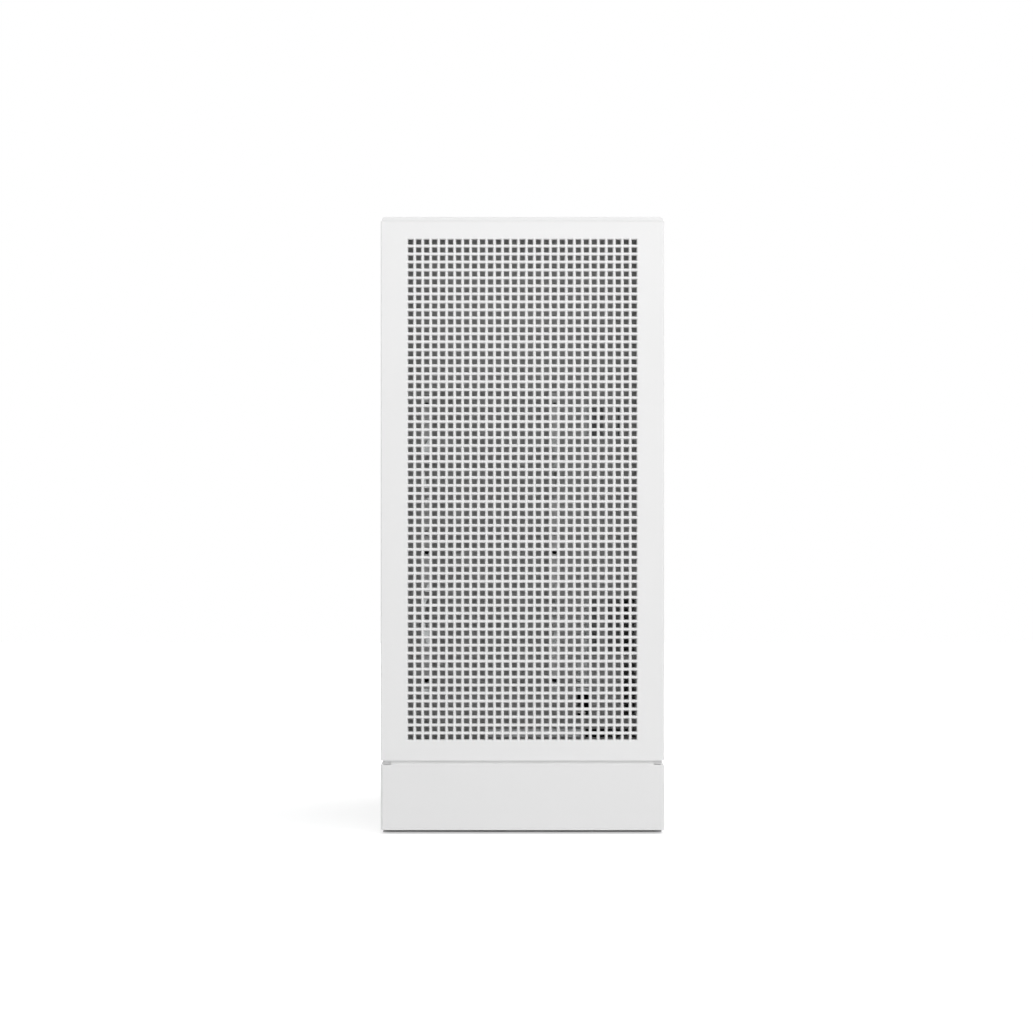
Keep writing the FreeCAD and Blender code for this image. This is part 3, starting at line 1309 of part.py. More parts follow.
def card_fans():
    """Middles of the graphics card's two fans, as x and y."""
    middle = f"(({card_side} + {card_out}) / 2)"
    return (("front", middle, f"({card_near} + 58)"), ("back", middle, f"({card_far} - 62)"))


def graphics_board():
    """Graphics circuit board with its edge contacts, a finned heat sink below it, and a power socket."""
    plate = box("card_plate", (card_out, card_side), (f"{card_near} + 12", card_far),
                (f"{card_z} - 0.8", f"{card_z} + 0.8"))
    contact = box("card_contact", (card_side, f"{board_face} - 3.4"),
                  (f"{rear_in} - 48 - 87", f"{rear_in} - 54"),
                  (f"{card_z} - 0.8", f"{card_z} + 0.8"))
    socket = box("card_power", (f"{card_out} - 1", f"{card_out} + 14"),
                 (f"{card_near} + 60", f"{card_near} + 96"),
                 (f"{card_z} + 0.8", f"{card_z} + 8.8"))
    base = box("card_base", (f"{card_out} + 6", f"{card_side} - 4"),
               (f"{card_near} + 16", f"{card_far} - 14"),
               (f"{card_z} - 4.8", f"{card_z} - 0.8"))
    fins = []
    for index in range(40):
        y = f"({card_near} + 18 + {index * 5.6:.1f})"
        fins.append(box("card_fin_%d" % index, (f"{card_out} + 6", f"{card_side} - 4"), (y, f"{y} + 1"),
                        (f"{card_z} - 18", f"{card_z} - 4.8")))
    return fuse("graphics_board", plate, contact, socket, base, *fins)


def graphics_shroud():
    """Moulded cover below the graphics card, with two fan openings and a motor mount in each."""
    low = f"({card_z} - card_thick)"
    outer = box("cover_outer", (card_out, card_side), (card_near, f"{card_far} - 4"),
                (low, f"{card_z} - 1.2"))
    inner = box("cover_inner", (f"{card_out} + 2", f"{card_side} - 2"),
                (f"{card_near} + 2", f"{card_far} - 6"),
                (f"{low} + 2.4", f"{card_z} + 2"))
    tools = [inner]
    mounts = []
    for name, x, y in card_fans():
        tools.append(rod("cover_hole_" + name, "z", (x, y, f"{low} - 1"), "6", "card_fan + 1.2"))
        mounts.append(rod("cover_mount_" + name, "z", (x, y, f"{low} + 13"), "2", "15"))
        mounts.append(box("cover_arm_" + name, (f"{card_out} + 1", f"{card_side} - 1"),
                          (f"{y} - 2", f"{y} + 2"),
                          (f"{low} + 13", f"{low} + 15")))
    return fuse("graphics_shroud", cut("cover_shell", outer, *tools), *mounts)


def graphics_metalwork():
    """Metal plate above the graphics board with a row of slanted vents, and its mounting bracket."""
    plate = box("back_plate", (card_out, card_side), (card_near, f"{card_far} - 4"),
                (f"{card_z} + 9", f"{card_z} + 10.4"))
    spacer = box("back_spacer", (f"{card_out} + 30", f"{card_side} - 30"),
                 (f"{card_near} + 130", f"{card_near} + 170"),
                 (f"{card_z} + 0.8", f"{card_z} + 9"))
    vents = [box("back_vent_%d" % index, (f"{card_out} + 20", f"{card_side} - 20"),
                 (f"{card_near} + 14 + {index * 9}", f"{card_near} + 18 + {index * 9}"),
                 (f"{card_z} + 8", f"{card_z} + 12"))
             for index in range(6)]
    return group("graphics_metalwork", fuse("backplate", cut("back_vented", plate, *vents), spacer),
                 card_bracket())


def card_bracket():
    """Two-slot bracket inside the back wall, with display sockets that show through the slots."""
    low = f"(slot_first - 2 * slot_pitch - slot_width / 2)"
    high = f"(slot_first - slot_pitch + slot_width / 2)"
    sheet_piece = box("bracket_sheet", (f"{board_face} - slot_length - 6", f"{board_face} + 1"),
                      (f"{rear_in} - 1", rear_in),
                      (low, high))
    pieces = []
    for index, near in enumerate((20, 46, 72)):
        pieces.append(box("bracket_port_%d" % index,
                          (f"{board_face} - {near + 19}", f"{board_face} - {near}"),
                          (f"{rear_in}", f"{rear_in} + 1.2"), (f"{card_z} + 1.6", f"{card_z} + 7.2")))
    return fuse("card_bracket", sheet_piece, *pieces)


# ---------------------------------------------------------------- drives

cage_back = f"({cage_front} + drive_depth + 8)"


def drive_cage():
    """Steel cage for two large drives under the shroud."""
    wide = "(drive_width / 2 + clear_fit)"
    high = f"({floor_top} + 74)"
    walls = [box("cage_wall_left", (f"-{wide} - 1", f"-{wide}"), (cage_front, cage_back), (floor_top, high)),
             box("cage_wall_right", (wide, f"{wide} + 1"), (cage_front, cage_back), (floor_top, high)),
             box("cage_roof", (f"-{wide} - 1", f"{wide} + 1"), (cage_front, cage_back),
                 (high, f"{high} + 1"))]
    for index, (hand, low,
                far) in enumerate((("left", f"-{wide}", f"-{wide} + 12"), ("right", f"{wide} - 12", wide))):
        for level in (4, 40):
            walls.append(box("cage_shelf_%s_%d" % (hand, level), (low, far), (cage_front, cage_back),
                             (f"{floor_top} + {level}", f"{floor_top} + {level} + 1")))
    return fuse("drive_cage", *walls)


def hard_drives():
    """Two large drives on the cage's shelves, each a cast body with a raised lid."""
    drives = []
    half = "(drive_width / 2)"
    for index, level in enumerate((5, 41)):
        low = f"({floor_top} + {level})"
        cast = box("drive_cast_%d" % index, (f"-{half}", half),
                   (f"{cage_front} + 4", f"{cage_front} + 4 + drive_depth"),
                   (low, f"{low} + drive_height - 3"))
        lid = box("drive_lid_%d" % index, (f"-{half} + 3", f"{half} - 3"),
                  (f"{cage_front} + 7", f"{cage_front} + 1 + drive_depth"),
                  (f"{low} + drive_height - 3", f"{low} + drive_height"))
        drives.append(fuse("drive_%d" % index, cast, lid))
    return group("hard_drives", *drives)


def thumb_screws():
    """Knurled screws at the back: two per side panel edge, seven for the slots and four for the supply."""
    screws = []
    spots = [(f"({board_face} - slot_length - 14)", f"(slot_first - {index} * slot_pitch)")
             for index in range(int(SIZES["slot_count"]))]
    spots += [("-supply_width / 2 + 2", f"{floor_top} + 16"), ("supply_width / 2 - 2", f"{floor_top} + 6"),
              ("-supply_width / 2 + 2", f"{floor_top} + 80"), ("supply_width / 2 - 2", f"{floor_top} + 80")]
    for index, (x, z) in enumerate(spots):
        head = rod("screw_head_%d" % index, "y", (x, rear_out, z), "5", "4")
        collar = rod("screw_collar_%d" % index, "y", (x, f"{rear_out} + 5", z), "1", "2.6")
        screws.append(fuse("screw_%d" % index, head, collar))
    return group("thumb_screws", *screws)


# ---------------------------------------------------------------- leads inside the case

def lead(name, points, radius):
    """Round lead along straight runs with tangent arcs at the turns."""
    places = [Vector(*[number(value) for value in point]) for point in points]
    size = number(radius)
    edges = []
    begin = places[0]
    for before, at, after in zip(places, places[1:], places[2:]):
        toward = (before - at).normalize()
        onward = (after - at).normalize()
        half_turn = (math.pi - toward.getAngle(onward)) / 2
        trim = 0.45 * min((before - at).Length, (after - at).Length)
        start = at + toward * trim
        stop = at + onward * trim
        bend = trim / math.tan(half_turn)
        print(name, "bend radius", round(bend, 1))
        centre = at + (toward + onward).normalize() * (bend / math.cos(half_turn))
        middle = centre + (at - centre).normalize() * bend
        edges.append(Part.makeLine(begin, start))
        edges.append(Part.Arc(start, middle, stop).toShape())
        begin = stop
    edges.append(Part.makeLine(begin, places[-1]))
    path = Part.Wire(edges)
    direction = (places[1] - places[0]).normalize()
    ring_wire = Part.Wire([Part.makeCircle(size, places[0], direction)])
    made = doc.addObject("Part::Feature", name)
    made.Shape = path.makePipeShell([ring_wire], True, False)
    made.Placement = Placement()
    volume = math.pi * size ** 2 * path.Length
    if abs(made.Shape.Volume / volume - 1) > 0.01:
        raise ValueError(name + " is not a true tube")
    return made


def board_lead():
    """Main power lead: from the board's connector round through an opening of the tray."""
    x = f"{board_face} - 8"
    z = "(board_low + 231)"
    far = f"{tray_far} + 14"
    low_z = f"({shroud_top} - 32)"
    points = [(x, f"{board_edge} + 1", z), (x, f"{board_edge} - 14", z),
              (f"{x} + 2", f"{board_edge} - 27", f"{z} + 1"),
              ("tray_side - 2", f"{board_edge} - 36", f"{z} - 2"),
              (f"{tray_far} + 8", f"{board_edge} - 37", f"{z} - 8"),
              (far, f"{board_edge} - 38", f"{z} - 26"), (far, f"{board_edge} - 39", f"{z} - 60"),
              (f"{far} + 1", f"{board_edge} - 41", f"{z} - 150"), (far, f"{board_edge} - 39", f"{z} - 220"),
              (f"{far} - 1", f"{board_edge} - 26", f"{low_z} + 22"),
              (f"{far} - 6", f"{board_edge} + 12", f"{low_z} + 3"),
              ("tray_side - 2", f"{board_edge} + 46", low_z),
              ("tray_side - 24", f"{supply_front} - 26", f"{low_z} - 1"),
              ("tray_side - 24", supply_front, f"{low_z} - 1")]
    return lead("board_power_lead", points, "cable_radius")


def card_lead():
    """Graphics power lead: from the card's socket down to the pass hole in the shroud."""
    x = f"({card_out} - 1)"
    y = f"({card_near} + 78)"
    z = f"({card_z} + 4.8)"
    points = [(x, y, z), (f"{x} - 9", y, z), (f"{x} - 19", f"{y} + 1", f"{z} - 8"),
              (f"{x} - 22", f"{y} - 1", f"{z} - 28"), (f"{x} - 14", f"{y} - 4", f"{z} - 58"),
              (f"{x} + 14", f"{y} - 3", f"{z} - 84"), (f"{x} + 50", f"{y} - 8", f"{z} - 96"),
              ("30", f"{pass_mid} + 9", f"({shroud_top} + 18)"),
              ("40", f"{pass_mid} - 1", f"({shroud_top} - 2)"),
              ("42", f"{pass_mid} + 3", f"({shroud_top} - 26)"),
              ("42", f"{pass_mid} + 23", f"({shroud_top} - 42)"),
              ("42", f"{supply_front} - 24", f"({shroud_top} - 44)"),
              ("42", supply_front, f"({shroud_top} - 44)")]
    return lead("card_power_lead", points, "cable_radius")


# ---------------------------------------------------------------- the assembly

bar_starts = (f"({front} + foot_inset)", f"({back} - foot_inset - foot_bar_depth)")
low_fan = ("front_fan_side", f"({plate_back} + fan_depth / 2)", "low_fan_height")
high_fan = ("front_fan_side", f"({plate_back} + fan_depth / 2)", "top_fan_height")
rear_fan = ("rear_fan_side", f"({rear_in} - fan_depth / 2)", "rear_fan_height")
cool_fan = (f"({board_face} - 8 - cooler_reach / 2)", f"({cooler_mid} - cooler_depth / 2 - fan_depth / 2)",
            "rear_fan_height")


def shifted(centre, axis_step):
    """A fan's centre moved along y by an expression."""
    return (centre[0], f"({centre[1]} + ({axis_step}))", centre[2])


rotor_size = ("fan_depth - 5", fan_tip, "fan_hub", 9)
card_rotor_size = ("9.6", "card_fan - 1.5", "13", 11)

nodes = [
    base_skirt(), base_deck(), floor_plate(), foot_bar("front_foot_bar", bar_starts[0]),
    foot_bar("rear_foot_bar", bar_starts[1], True), foot_pads(bar_starts), floor_filter(), filter_runners(),
    front_plate(), rear_panel(), motherboard_tray(), top_frame(), psu_shroud(), cable_cover(),
    side_ledges(), intake_filter(),
    fan_frame("lower_fan_frame", low_fan), fan_frame("upper_fan_frame", high_fan),
    fan_frame("rear_fan_frame", rear_fan), fan_frame("cooler_fan_frame", cool_fan),
    fan_rotor("lower_fan_rotor", "y", shifted(low_fan, "-1"), *rotor_size),
    fan_rotor("upper_fan_rotor", "y", shifted(high_fan, "-1"), *rotor_size),
    fan_rotor("rear_fan_rotor", "y", shifted(rear_fan, "-1"), *rotor_size),
    fan_rotor("cooler_fan_rotor", "y", shifted(cool_fan, "-1"), *rotor_size),
    pierced_sheet("front_mesh"), front_panel_frame(),
    top_cover(), top_panel(), top_filter(), port_block(), front_ports(), headset_jack(), power_button(),
    glass_pane(), glass_rails(), steel_side_panel(),
    psu_housing(), psu_guard(), psu_board(), psu_sockets(), psu_rocker(),
    fan_rotor("psu_fan_rotor", "z", ("0", supply_mid, f"({supply_low} + 15)"), "20", "56", "19", 9),
    motherboard(), board_standoffs(), board_heatsinks(), rear_ports(), processor(), cooler_heatsink(),
    memory_modules(), expansion_slots(),
    graphics_board(), graphics_shroud(), graphics_metalwork(),
]
for place, x, y in card_fans():
    middle = f"({card_z} - card_thick + 7.6)"
    nodes.append(fan_rotor("card_%s_rotor" % place, "z", (x, y, middle), *card_rotor_size))
nodes += [drive_cage(), hard_drives(), thumb_screws(), board_lead(), card_lead()]

doc.recompute()
faults = [made.Name for made in doc.Objects if {"Invalid", "Error"} & set(made.State)]
if faults:
    raise RuntimeError("failed objects: " + ", ".join(faults))
for made in nodes:
    made.Label = made.Name
    if made.Shape.isNull() or not made.Shape.isValid():
        raise RuntimeError("bad shape: " + made.Label)
os.makedirs("parts", exist_ok=True)
for made in nodes:
    made.Shape.exportStep(os.path.join("parts", made.Label + ".step"))
print(len(nodes), "nodes")
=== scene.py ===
import json
import math

import bmesh
import bpy
from mathutils import Matrix, Vector


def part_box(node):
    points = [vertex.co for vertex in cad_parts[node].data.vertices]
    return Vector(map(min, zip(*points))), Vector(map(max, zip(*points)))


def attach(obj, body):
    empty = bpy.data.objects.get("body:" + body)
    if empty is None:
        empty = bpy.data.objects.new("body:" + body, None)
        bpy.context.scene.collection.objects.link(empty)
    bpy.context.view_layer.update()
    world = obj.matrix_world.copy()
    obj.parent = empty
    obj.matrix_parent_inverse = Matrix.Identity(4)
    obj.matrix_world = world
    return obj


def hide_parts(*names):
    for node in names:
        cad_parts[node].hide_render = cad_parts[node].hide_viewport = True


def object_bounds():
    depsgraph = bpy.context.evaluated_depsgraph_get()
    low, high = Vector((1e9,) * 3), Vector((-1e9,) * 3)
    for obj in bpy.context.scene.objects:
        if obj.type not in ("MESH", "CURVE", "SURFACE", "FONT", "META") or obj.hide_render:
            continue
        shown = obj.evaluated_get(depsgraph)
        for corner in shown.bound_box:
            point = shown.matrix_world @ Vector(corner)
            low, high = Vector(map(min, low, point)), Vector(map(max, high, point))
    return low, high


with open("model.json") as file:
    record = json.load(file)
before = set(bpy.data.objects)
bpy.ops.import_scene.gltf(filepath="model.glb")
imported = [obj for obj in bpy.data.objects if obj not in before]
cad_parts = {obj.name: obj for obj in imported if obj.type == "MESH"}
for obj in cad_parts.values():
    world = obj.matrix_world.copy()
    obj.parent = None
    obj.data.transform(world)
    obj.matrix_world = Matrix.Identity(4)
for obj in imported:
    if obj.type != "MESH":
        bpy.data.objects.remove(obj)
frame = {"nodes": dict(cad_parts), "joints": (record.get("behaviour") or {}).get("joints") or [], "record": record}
cad_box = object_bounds()


# ---------------------------------------------------------------- finishes


class Wire:
    """A socket in a finish. Sums, products and powers of wires add their Math nodes."""

    def __init__(self, finish, socket):
        self.finish = finish
        self.socket = socket

    def _maths(self, operation, *values):
        return self.finish.node("ShaderNodeMath", {"operation": operation}, dict(enumerate(values)))

    def __add__(self, other):
        return self._maths("ADD", self, other)

    __radd__ = __add__

    def __sub__(self, other):
        return self._maths("SUBTRACT", self, other)

    def __rsub__(self, other):
        return self._maths("SUBTRACT", other, self)

    def __mul__(self, other):
        return self._maths("MULTIPLY", self, other)

    __rmul__ = __mul__

    def __truediv__(self, other):
        return self._maths("DIVIDE", self, other)

    def __mod__(self, other):
        return self._maths("FLOORED_MODULO", self, other)

    def __pow__(self, other):
        return self._maths("POWER", self, other)

    def __gt__(self, other):
        return self._maths("GREATER_THAN", self, other)

    def __lt__(self, other):
        return self._maths("LESS_THAN", self, other)

    def __abs__(self):
        return self._maths("ABSOLUTE", self)

    def most(self, other):
        return self._maths("MAXIMUM", self, other)

    def least(self, other):
        return self._maths("MINIMUM", self, other)


class Finish:
    """A material, with one method that adds any node to it."""

    def __init__(self, name):
        self.material = bpy.data.materials.new(name)
        self.material.use_nodes = True
        self.tree = self.material.node_tree
        self.tree.nodes.clear()

    def node(self, kind, settings=None, inputs=None, output=0):
        """Adds a node, sets it, feeds its sockets with values or wires, and gives one output."""
        made = self.tree.nodes.new(kind)
        for name, value in (settings or {}).items():
            if name == "stops":
                self._set_stops(made.color_ramp, value)
            else:
                setattr(made, name, value)
        for name, value in (inputs or {}).items():
            if isinstance(value, Wire):
                self.tree.links.new(value.socket, made.inputs[name])
            else:
                made.inputs[name].default_value = value
        return Wire(self, made.outputs[output]) if made.outputs else made

    @staticmethod
    def _set_stops(ramp, stops):
        while len(ramp.elements) < len(stops):
            ramp.elements.new(1.0)
        for element, (place, colour) in zip(ramp.elements, stops):
            element.position = place
            element.color = (*colour, 1.0)

    def place(self):
        return self.node("ShaderNodeTexCoord", output="Object")

    def axes(self):
        """The place's x, y and z as three wires, in metres."""
        split = self.node("ShaderNodeSeparateXYZ", inputs={0: self.place()})
        outputs = split.socket.node.outputs
        return [Wire(self, outputs[i]) for i in range(3)]

    def noise(self, scale, detail=2.0, rough=0.5):
        """Cloudy noise from 0 to 1, with about scale lumps to the metre."""
        values = {"Vector": self.place(), "Scale": scale, "Detail": detail, "Roughness": rough}
        return self.node("ShaderNodeTexNoise", inputs=values)

    def blend(self, factor, low, high):
        """The colour from low to high as factor goes from 0 to 1."""
        values = {"Factor": factor, "A": rgba(low), "B": rgba(high)}
        mixed = self.node("ShaderNodeMix", {"data_type": "RGBA"}, output="Result")
        made = mixed.socket.node
        for name, value in values.items():
            socket = next(s for s in made.inputs if s.name == name and s.enabled)
            if isinstance(value, Wire):
                self.tree.links.new(value.socket, socket)
            else:
                socket.default_value = value
        return Wire(self, next(s for s in made.outputs if s.enabled))

    def bump(self, height, depth):
        """The normal of a surface raised by height, from 0 to 1, times depth in metres."""
        return self.node("ShaderNodeBump", inputs={"Height": height, "Distance": depth})

    def surface(self, **sockets):
        """The finish's one Principled shader. Underscores stand for the spaces of socket names."""
        values = {name.replace("_", " "): value for name, value in sockets.items()}
        return self.node("ShaderNodeBsdfPrincipled", inputs=values)

    def done(self, shader):
        self.node("ShaderNodeOutputMaterial", inputs={"Surface": shader})
        return self.material


def rgba(colour):
    """A grey level, a colour or a wire as what a colour socket takes."""
    if isinstance(colour, Wire):
        return colour
    if isinstance(colour, (int, float)):
        return (colour, colour, colour, 1.0)
    return (*colour, 1.0)


def powder_coat(name, level, gloss):
    """Sprayed white steel: a fine orange peel, and a slight drift of tone over the sheet."""
    finish = Finish(name)
    drift = finish.noise(9.0, 3.0)
    peel = finish.noise(1400.0, 2.0)
    colour = finish.blend(drift, 0.975 * level, level)
    normal = finish.bump(peel, 0.00002)
    shader = finish.surface(Base_Color=colour, Roughness=gloss + 0.08 * peel, Normal=normal)
    return finish.done(shader)


def moulded(name, colour, gloss, depth=0.00003):
    """Moulded plastic with a fine spark-eroded grain."""
    finish = Finish(name)
    grain = finish.noise(2200.0, 3.0, 0.6)
    drift = finish.noise(30.0, 2.0)
    dim = tuple(0.94 * c for c in colour)
    tone = finish.blend(drift, dim, colour)
    shader = finish.surface(
        Base_Color=tone, Roughness=gloss + 0.1 * grain, Normal=finish.bump(grain, depth)
    )
    return finish.done(shader)


def tinted_glass():
    """Clear side glass with a light grey tint. Lamps shine through it."""
    finish = Finish("side_glass")
    haze = finish.noise(6.0, 4.0)
    pane = finish.surface(
        Base_Color=(0.86, 0.88, 0.88, 1.0),
        Roughness=0.012 * haze,
        IOR=1.33,
        Specular_IOR_Level=0.25,
        Transmission_Weight=1.0,
    )
    clear = finish.node("ShaderNodeBsdfTransparent", inputs={"Color": (0.88, 0.9, 0.9, 1.0)})
    shadow = finish.node("ShaderNodeLightPath", output="Is Shadow Ray")
    return finish.done(finish.node("ShaderNodeMixShader", inputs={0: shadow, 1: pane, 2: clear}))


def brushed(name, colour, gloss, stretch):
    """Bare metal with fine lines. stretch is how far the lines run along x, y and z."""
    finish = Finish(name)
    along = finish.node(
        "ShaderNodeMapping", inputs={"Vector": finish.place(), "Scale": stretch}
    )
    lines = finish.node(
        "ShaderNodeTexNoise", inputs={"Vector": along, "Scale": 900.0, "Detail": 3.0}
    )
    tone = finish.blend(lines, tuple(0.86 * c for c in colour), colour)
    shader = finish.surface(
        Base_Color=tone,
        Metallic=1.0,
        Roughness=gloss + 0.14 * lines,
        Normal=finish.bump(lines, 0.00001),
    )
    return finish.done(shader)


def filter_cloth():
    """White woven dust cloth, its threads finer than a millimetre and open between them. Its base colour is
    painted shade: grey, for the dark space behind the front mesh.
    """
    finish = Finish("dust_cloth_painted_shade")
    pitch = 0.0009
    thread = 0.42
    x, y, z = finish.axes()
    across = abs((x % pitch) / pitch - 0.5)
    level = abs(((y + z) % pitch) / pitch - 0.5)
    web = across.least(level) < thread / 2
    raised = 1.0 - 2.0 * across.least(level)
    shader = finish.surface(
        # Painted shade: the white cloth is coloured 0.42 grey to stand for the shade behind the mesh.
        Base_Color=rgba(0.42),
        Roughness=0.75,
        Alpha=0.45 + 0.55 * web,
        Normal=finish.bump(raised, 0.0001),
    )
    return finish.done(shader)


def circuit_board(name, mask, gloss=0.35):
    """A lacquered board: fine traces under the mask, and small dull pads."""
    finish = Finish(name)
    y, z = finish.axes()[1:]
    lane = 0.0016
    bend = finish.noise(22.0, 0.0)
    run = ((z + 0.6 * y + 0.05 * bend) % lane) / lane
    trace = (abs(run - 0.5) < 0.2) * (finish.noise(60.0, 1.0) > 0.5)
    dots = finish.node(
        "ShaderNodeTexVoronoi", inputs={"Vector": finish.place(), "Scale": 260.0}
    )
    pad = dots < 0.16
    colour = finish.blend(trace, mask, tuple(1.7 * c + 0.01 for c in mask))
    colour = finish.blend(pad, colour, (0.5, 0.48, 0.42))
    shader = finish.surface(
        Base_Color=colour,
        Roughness=gloss - 0.1 * trace,
        Metallic=0.7 * pad,
        Normal=finish.bump(trace, 0.00004),
    )
    return finish.done(shader)


def soft_rubber():
    finish = Finish("grey_rubber")
    grain = finish.noise(1500.0, 4.0, 0.7)
    tone = finish.blend(grain, 0.16, 0.24)
    shader = finish.surface(Base_Color=tone, Roughness=0.8, Normal=finish.bump(grain, 0.00006))
    return finish.done(shader)


def braided_sleeve(name, level):
    """Plaited thread over a lead: two crossing sets of slanted strands."""
    finish = Finish(name)
    x, y, z = finish.axes()
    pitch = 0.0016
    one = abs(((z + y + x) % pitch) / pitch - 0.5)
    two = abs(((z - y - x) % pitch) / pitch - 0.5)
    strand = one.most(two) * 2.0
    tone = finish.blend(strand, 0.72 * level, level)
    shader = finish.surface(
        Base_Color=tone, Roughness=0.7, Normal=finish.bump(strand, 0.00015)
    )
    return finish.done(shader)


FINISHES = {
    "front_white": powder_coat("front_coat", 0.86, 0.42),
    "white_steel": powder_coat("steel_coat", 0.84, 0.45),
    "white_plastic": moulded("trim_plastic", (0.84, 0.84, 0.84), 0.42),
    # inner_white is the same white powder coat as the outer steel at a lower level: painted shade inside the case.
    "inner_white": powder_coat("inner_coat_painted_shade", 0.6, 0.5),
    "fan_white": moulded("fan_plastic", (0.7, 0.7, 0.7), 0.35, 0.00002),
    "glass": tinted_glass(),
    "rubber": soft_rubber(),
    "dark_plastic": moulded("socket_plastic", (0.028, 0.028, 0.03), 0.45),
    "dark_metal": powder_coat("dark_coat", 0.05, 0.45),
    "bare_steel": brushed("bright_steel", (0.62, 0.61, 0.59), 0.25, (1.0, 0.05, 1.0)),
    "nickel": brushed("nickel_plate", (0.7, 0.68, 0.64), 0.15, (1.0, 1.0, 1.0)),
    "fin_aluminium": brushed("fin_metal", (0.72, 0.73, 0.74), 0.28, (0.05, 1.0, 1.0)),
    "board": circuit_board("main_board", (0.02, 0.022, 0.026)),
    "filter_cloth": filter_cloth(),
    "lead_white": braided_sleeve("lead_sleeve", 0.74),
}

OWN_AND_PAINTED_SHADE_FINISHES = {
    "rear_panel": FINISHES["white_steel"],
    # Painted shade: the white front plate is coloured 0.4 grey and the cable cover 0.16 near black, for the dark
    # space seen through the front mesh.
    "front_plate": powder_coat("plate_painted_shade", 0.4, 0.5),
    "cable_cover": powder_coat("cover_painted_shade", 0.16, 0.5),
}
FROSTED = moulded("frosted_bar", (0.9, 0.9, 0.9), 0.3, 0.00001)
GOLD = brushed("gold_plate", (0.83, 0.62, 0.28), 0.2, (1.0, 1.0, 1.0))
BLUE_PLASTIC = moulded("blue_socket", (0.02, 0.1, 0.42), 0.4)
PINK_PLASTIC = moulded("pink_socket", (0.6, 0.16, 0.22), 0.4)
GREEN_PLASTIC = moulded("green_socket", (0.12, 0.42, 0.1), 0.4)


def coat_cad_nodes():
    """Gives each CAD node its own finish, or else that of its record's slot. Some own finishes are painted shade.
    """
    for entry in frame["record"]["subparts"]:
        node = frame["nodes"][entry["node"]]
        node.data.materials.clear()
        of_slot = FINISHES[entry["material_slot"]]
        node.data.materials.append(OWN_AND_PAINTED_SHADE_FINISHES.get(entry["node"], of_slot))


# ---------------------------------------------------------------- modelling steps

MM = 0.001
FORWARD = Vector((0.0, -1.0, 0.0))
OUTWARD = Vector((-1.0, 0.0, 0.0))
UP = Vector((0.0, 0.0, 1.0))


def lay_down():
    """Leaves edit mode and deselects everything."""
    if bpy.context.object and bpy.context.object.mode != "OBJECT":
        bpy.ops.object.mode_set(mode="OBJECT")
    bpy.ops.object.select_all(action="DESELECT")


def take_up(piece):
    """Makes a piece the one that the next operators act on."""
    lay_down()
    piece.select_set(True)
    bpy.context.view_layer.objects.active = piece


def new_box(low, high):
    """A box between two corners."""
    lay_down()
    low, high = Vector(low), Vector(high)
    bpy.ops.mesh.primitive_cube_add(size=1.0, location=(low + high) / 2)
    bpy.context.object.scale = high - low
    bpy.ops.object.transform_apply(location=True, rotation=True, scale=True)
    return bpy.context.object


def new_rod(foot, along, radius, sides=32):
    """A round bar from foot, as long as the vector along."""
    lay_down()
    foot, along = Vector(foot), Vector(along)
    turn = along.to_track_quat("Z", "Y").to_euler()
    bpy.ops.mesh.primitive_cylinder_add(
        vertices=sides, radius=radius, depth=along.length, location=foot + along / 2, rotation=turn
    )
    bpy.ops.object.transform_apply(location=True, rotation=True, scale=True)
    return bpy.context.object


def facing(direction):
    """A test for the faces that look along direction."""
    return lambda middle, normal: normal.dot(Vector(direction)) > 0.9


def pick(piece, test):
    """Opens a piece for editing, with the faces selected whose middle and normal pass the test."""
    take_up(piece)
    bpy.ops.object.mode_set(mode="EDIT")
    bpy.ops.mesh.select_mode(type="FACE")
    bpy.ops.mesh.select_all(action="DESELECT")
    shape = bmesh.from_edit_mesh(piece.data)
    for face in shape.faces:
        face.select_set(bool(test(face.calc_center_median(), face.normal)))
    bmesh.update_edit_mesh(piece.data)


def sink(piece, test, margin, depth):
    """Insets the chosen faces by margin and pushes them in by depth, or out if it is negative."""
    pick(piece, test)
    bpy.ops.mesh.inset(thickness=margin, depth=0.0)
    bpy.ops.mesh.extrude_region_shrink_fatten(TRANSFORM_OT_shrink_fatten={"value": -depth})
    bpy.ops.object.mode_set(mode="OBJECT")


def slice_along(piece, axis, places):
    """Cuts a piece's faces across at each place on an axis, 0 to 2, so that bands can be chosen."""
    take_up(piece)
    bpy.ops.object.mode_set(mode="EDIT")
    normal = [0.0, 0.0, 0.0]
    normal[axis] = 1.0
    for place in places:
        bpy.ops.mesh.select_all(action="SELECT")
        bpy.ops.mesh.bisect(plane_co=[place * n for n in normal], plane_no=normal)
    bpy.ops.object.mode_set(mode="OBJECT")


def apply_modifier(piece, kind, **settings):
    """Adds a modifier, sets it and applies it."""
    take_up(piece)
    added = piece.modifiers.new(kind.lower(), kind)
    for name, value in settings.items():
        setattr(added, name, value)
    bpy.ops.object.modifier_apply(modifier=added.name)


def soften(piece, width, segments=2):
    """Rounds a piece's sharp edges."""
    apply_modifier(piece, "BEVEL", width=width, segments=segments, limit_method="ANGLE")


def twin(piece, move):
    """A copy with a mesh of its own, moved by a vector or a matrix."""
    made = piece.copy()
    made.data = piece.data.copy()
    made.data.transform(move if isinstance(move, Matrix) else Matrix.Translation(move))
    bpy.context.scene.collection.objects.link(made)
    return made


def join(pieces):
    """One mesh of several."""
    take_up(pieces[0])
    for piece in pieces[1:]:
        piece.select_set(True)
    bpy.ops.object.join()
    return pieces[0]


def fit(piece, name, body, slot, stands_for=(), finish=None):
    """Names a finished piece, coats it and fixes it to its body."""
    take_up(piece)
    bpy.ops.object.shade_smooth_by_angle(angle=math.radians(35.0))
    piece.name = name
    piece.data.name = name
    piece.data.materials.clear()
    piece.data.materials.append(finish or FINISHES[slot])
    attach(piece, body)
    if stands_for:
        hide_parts(*stands_for)


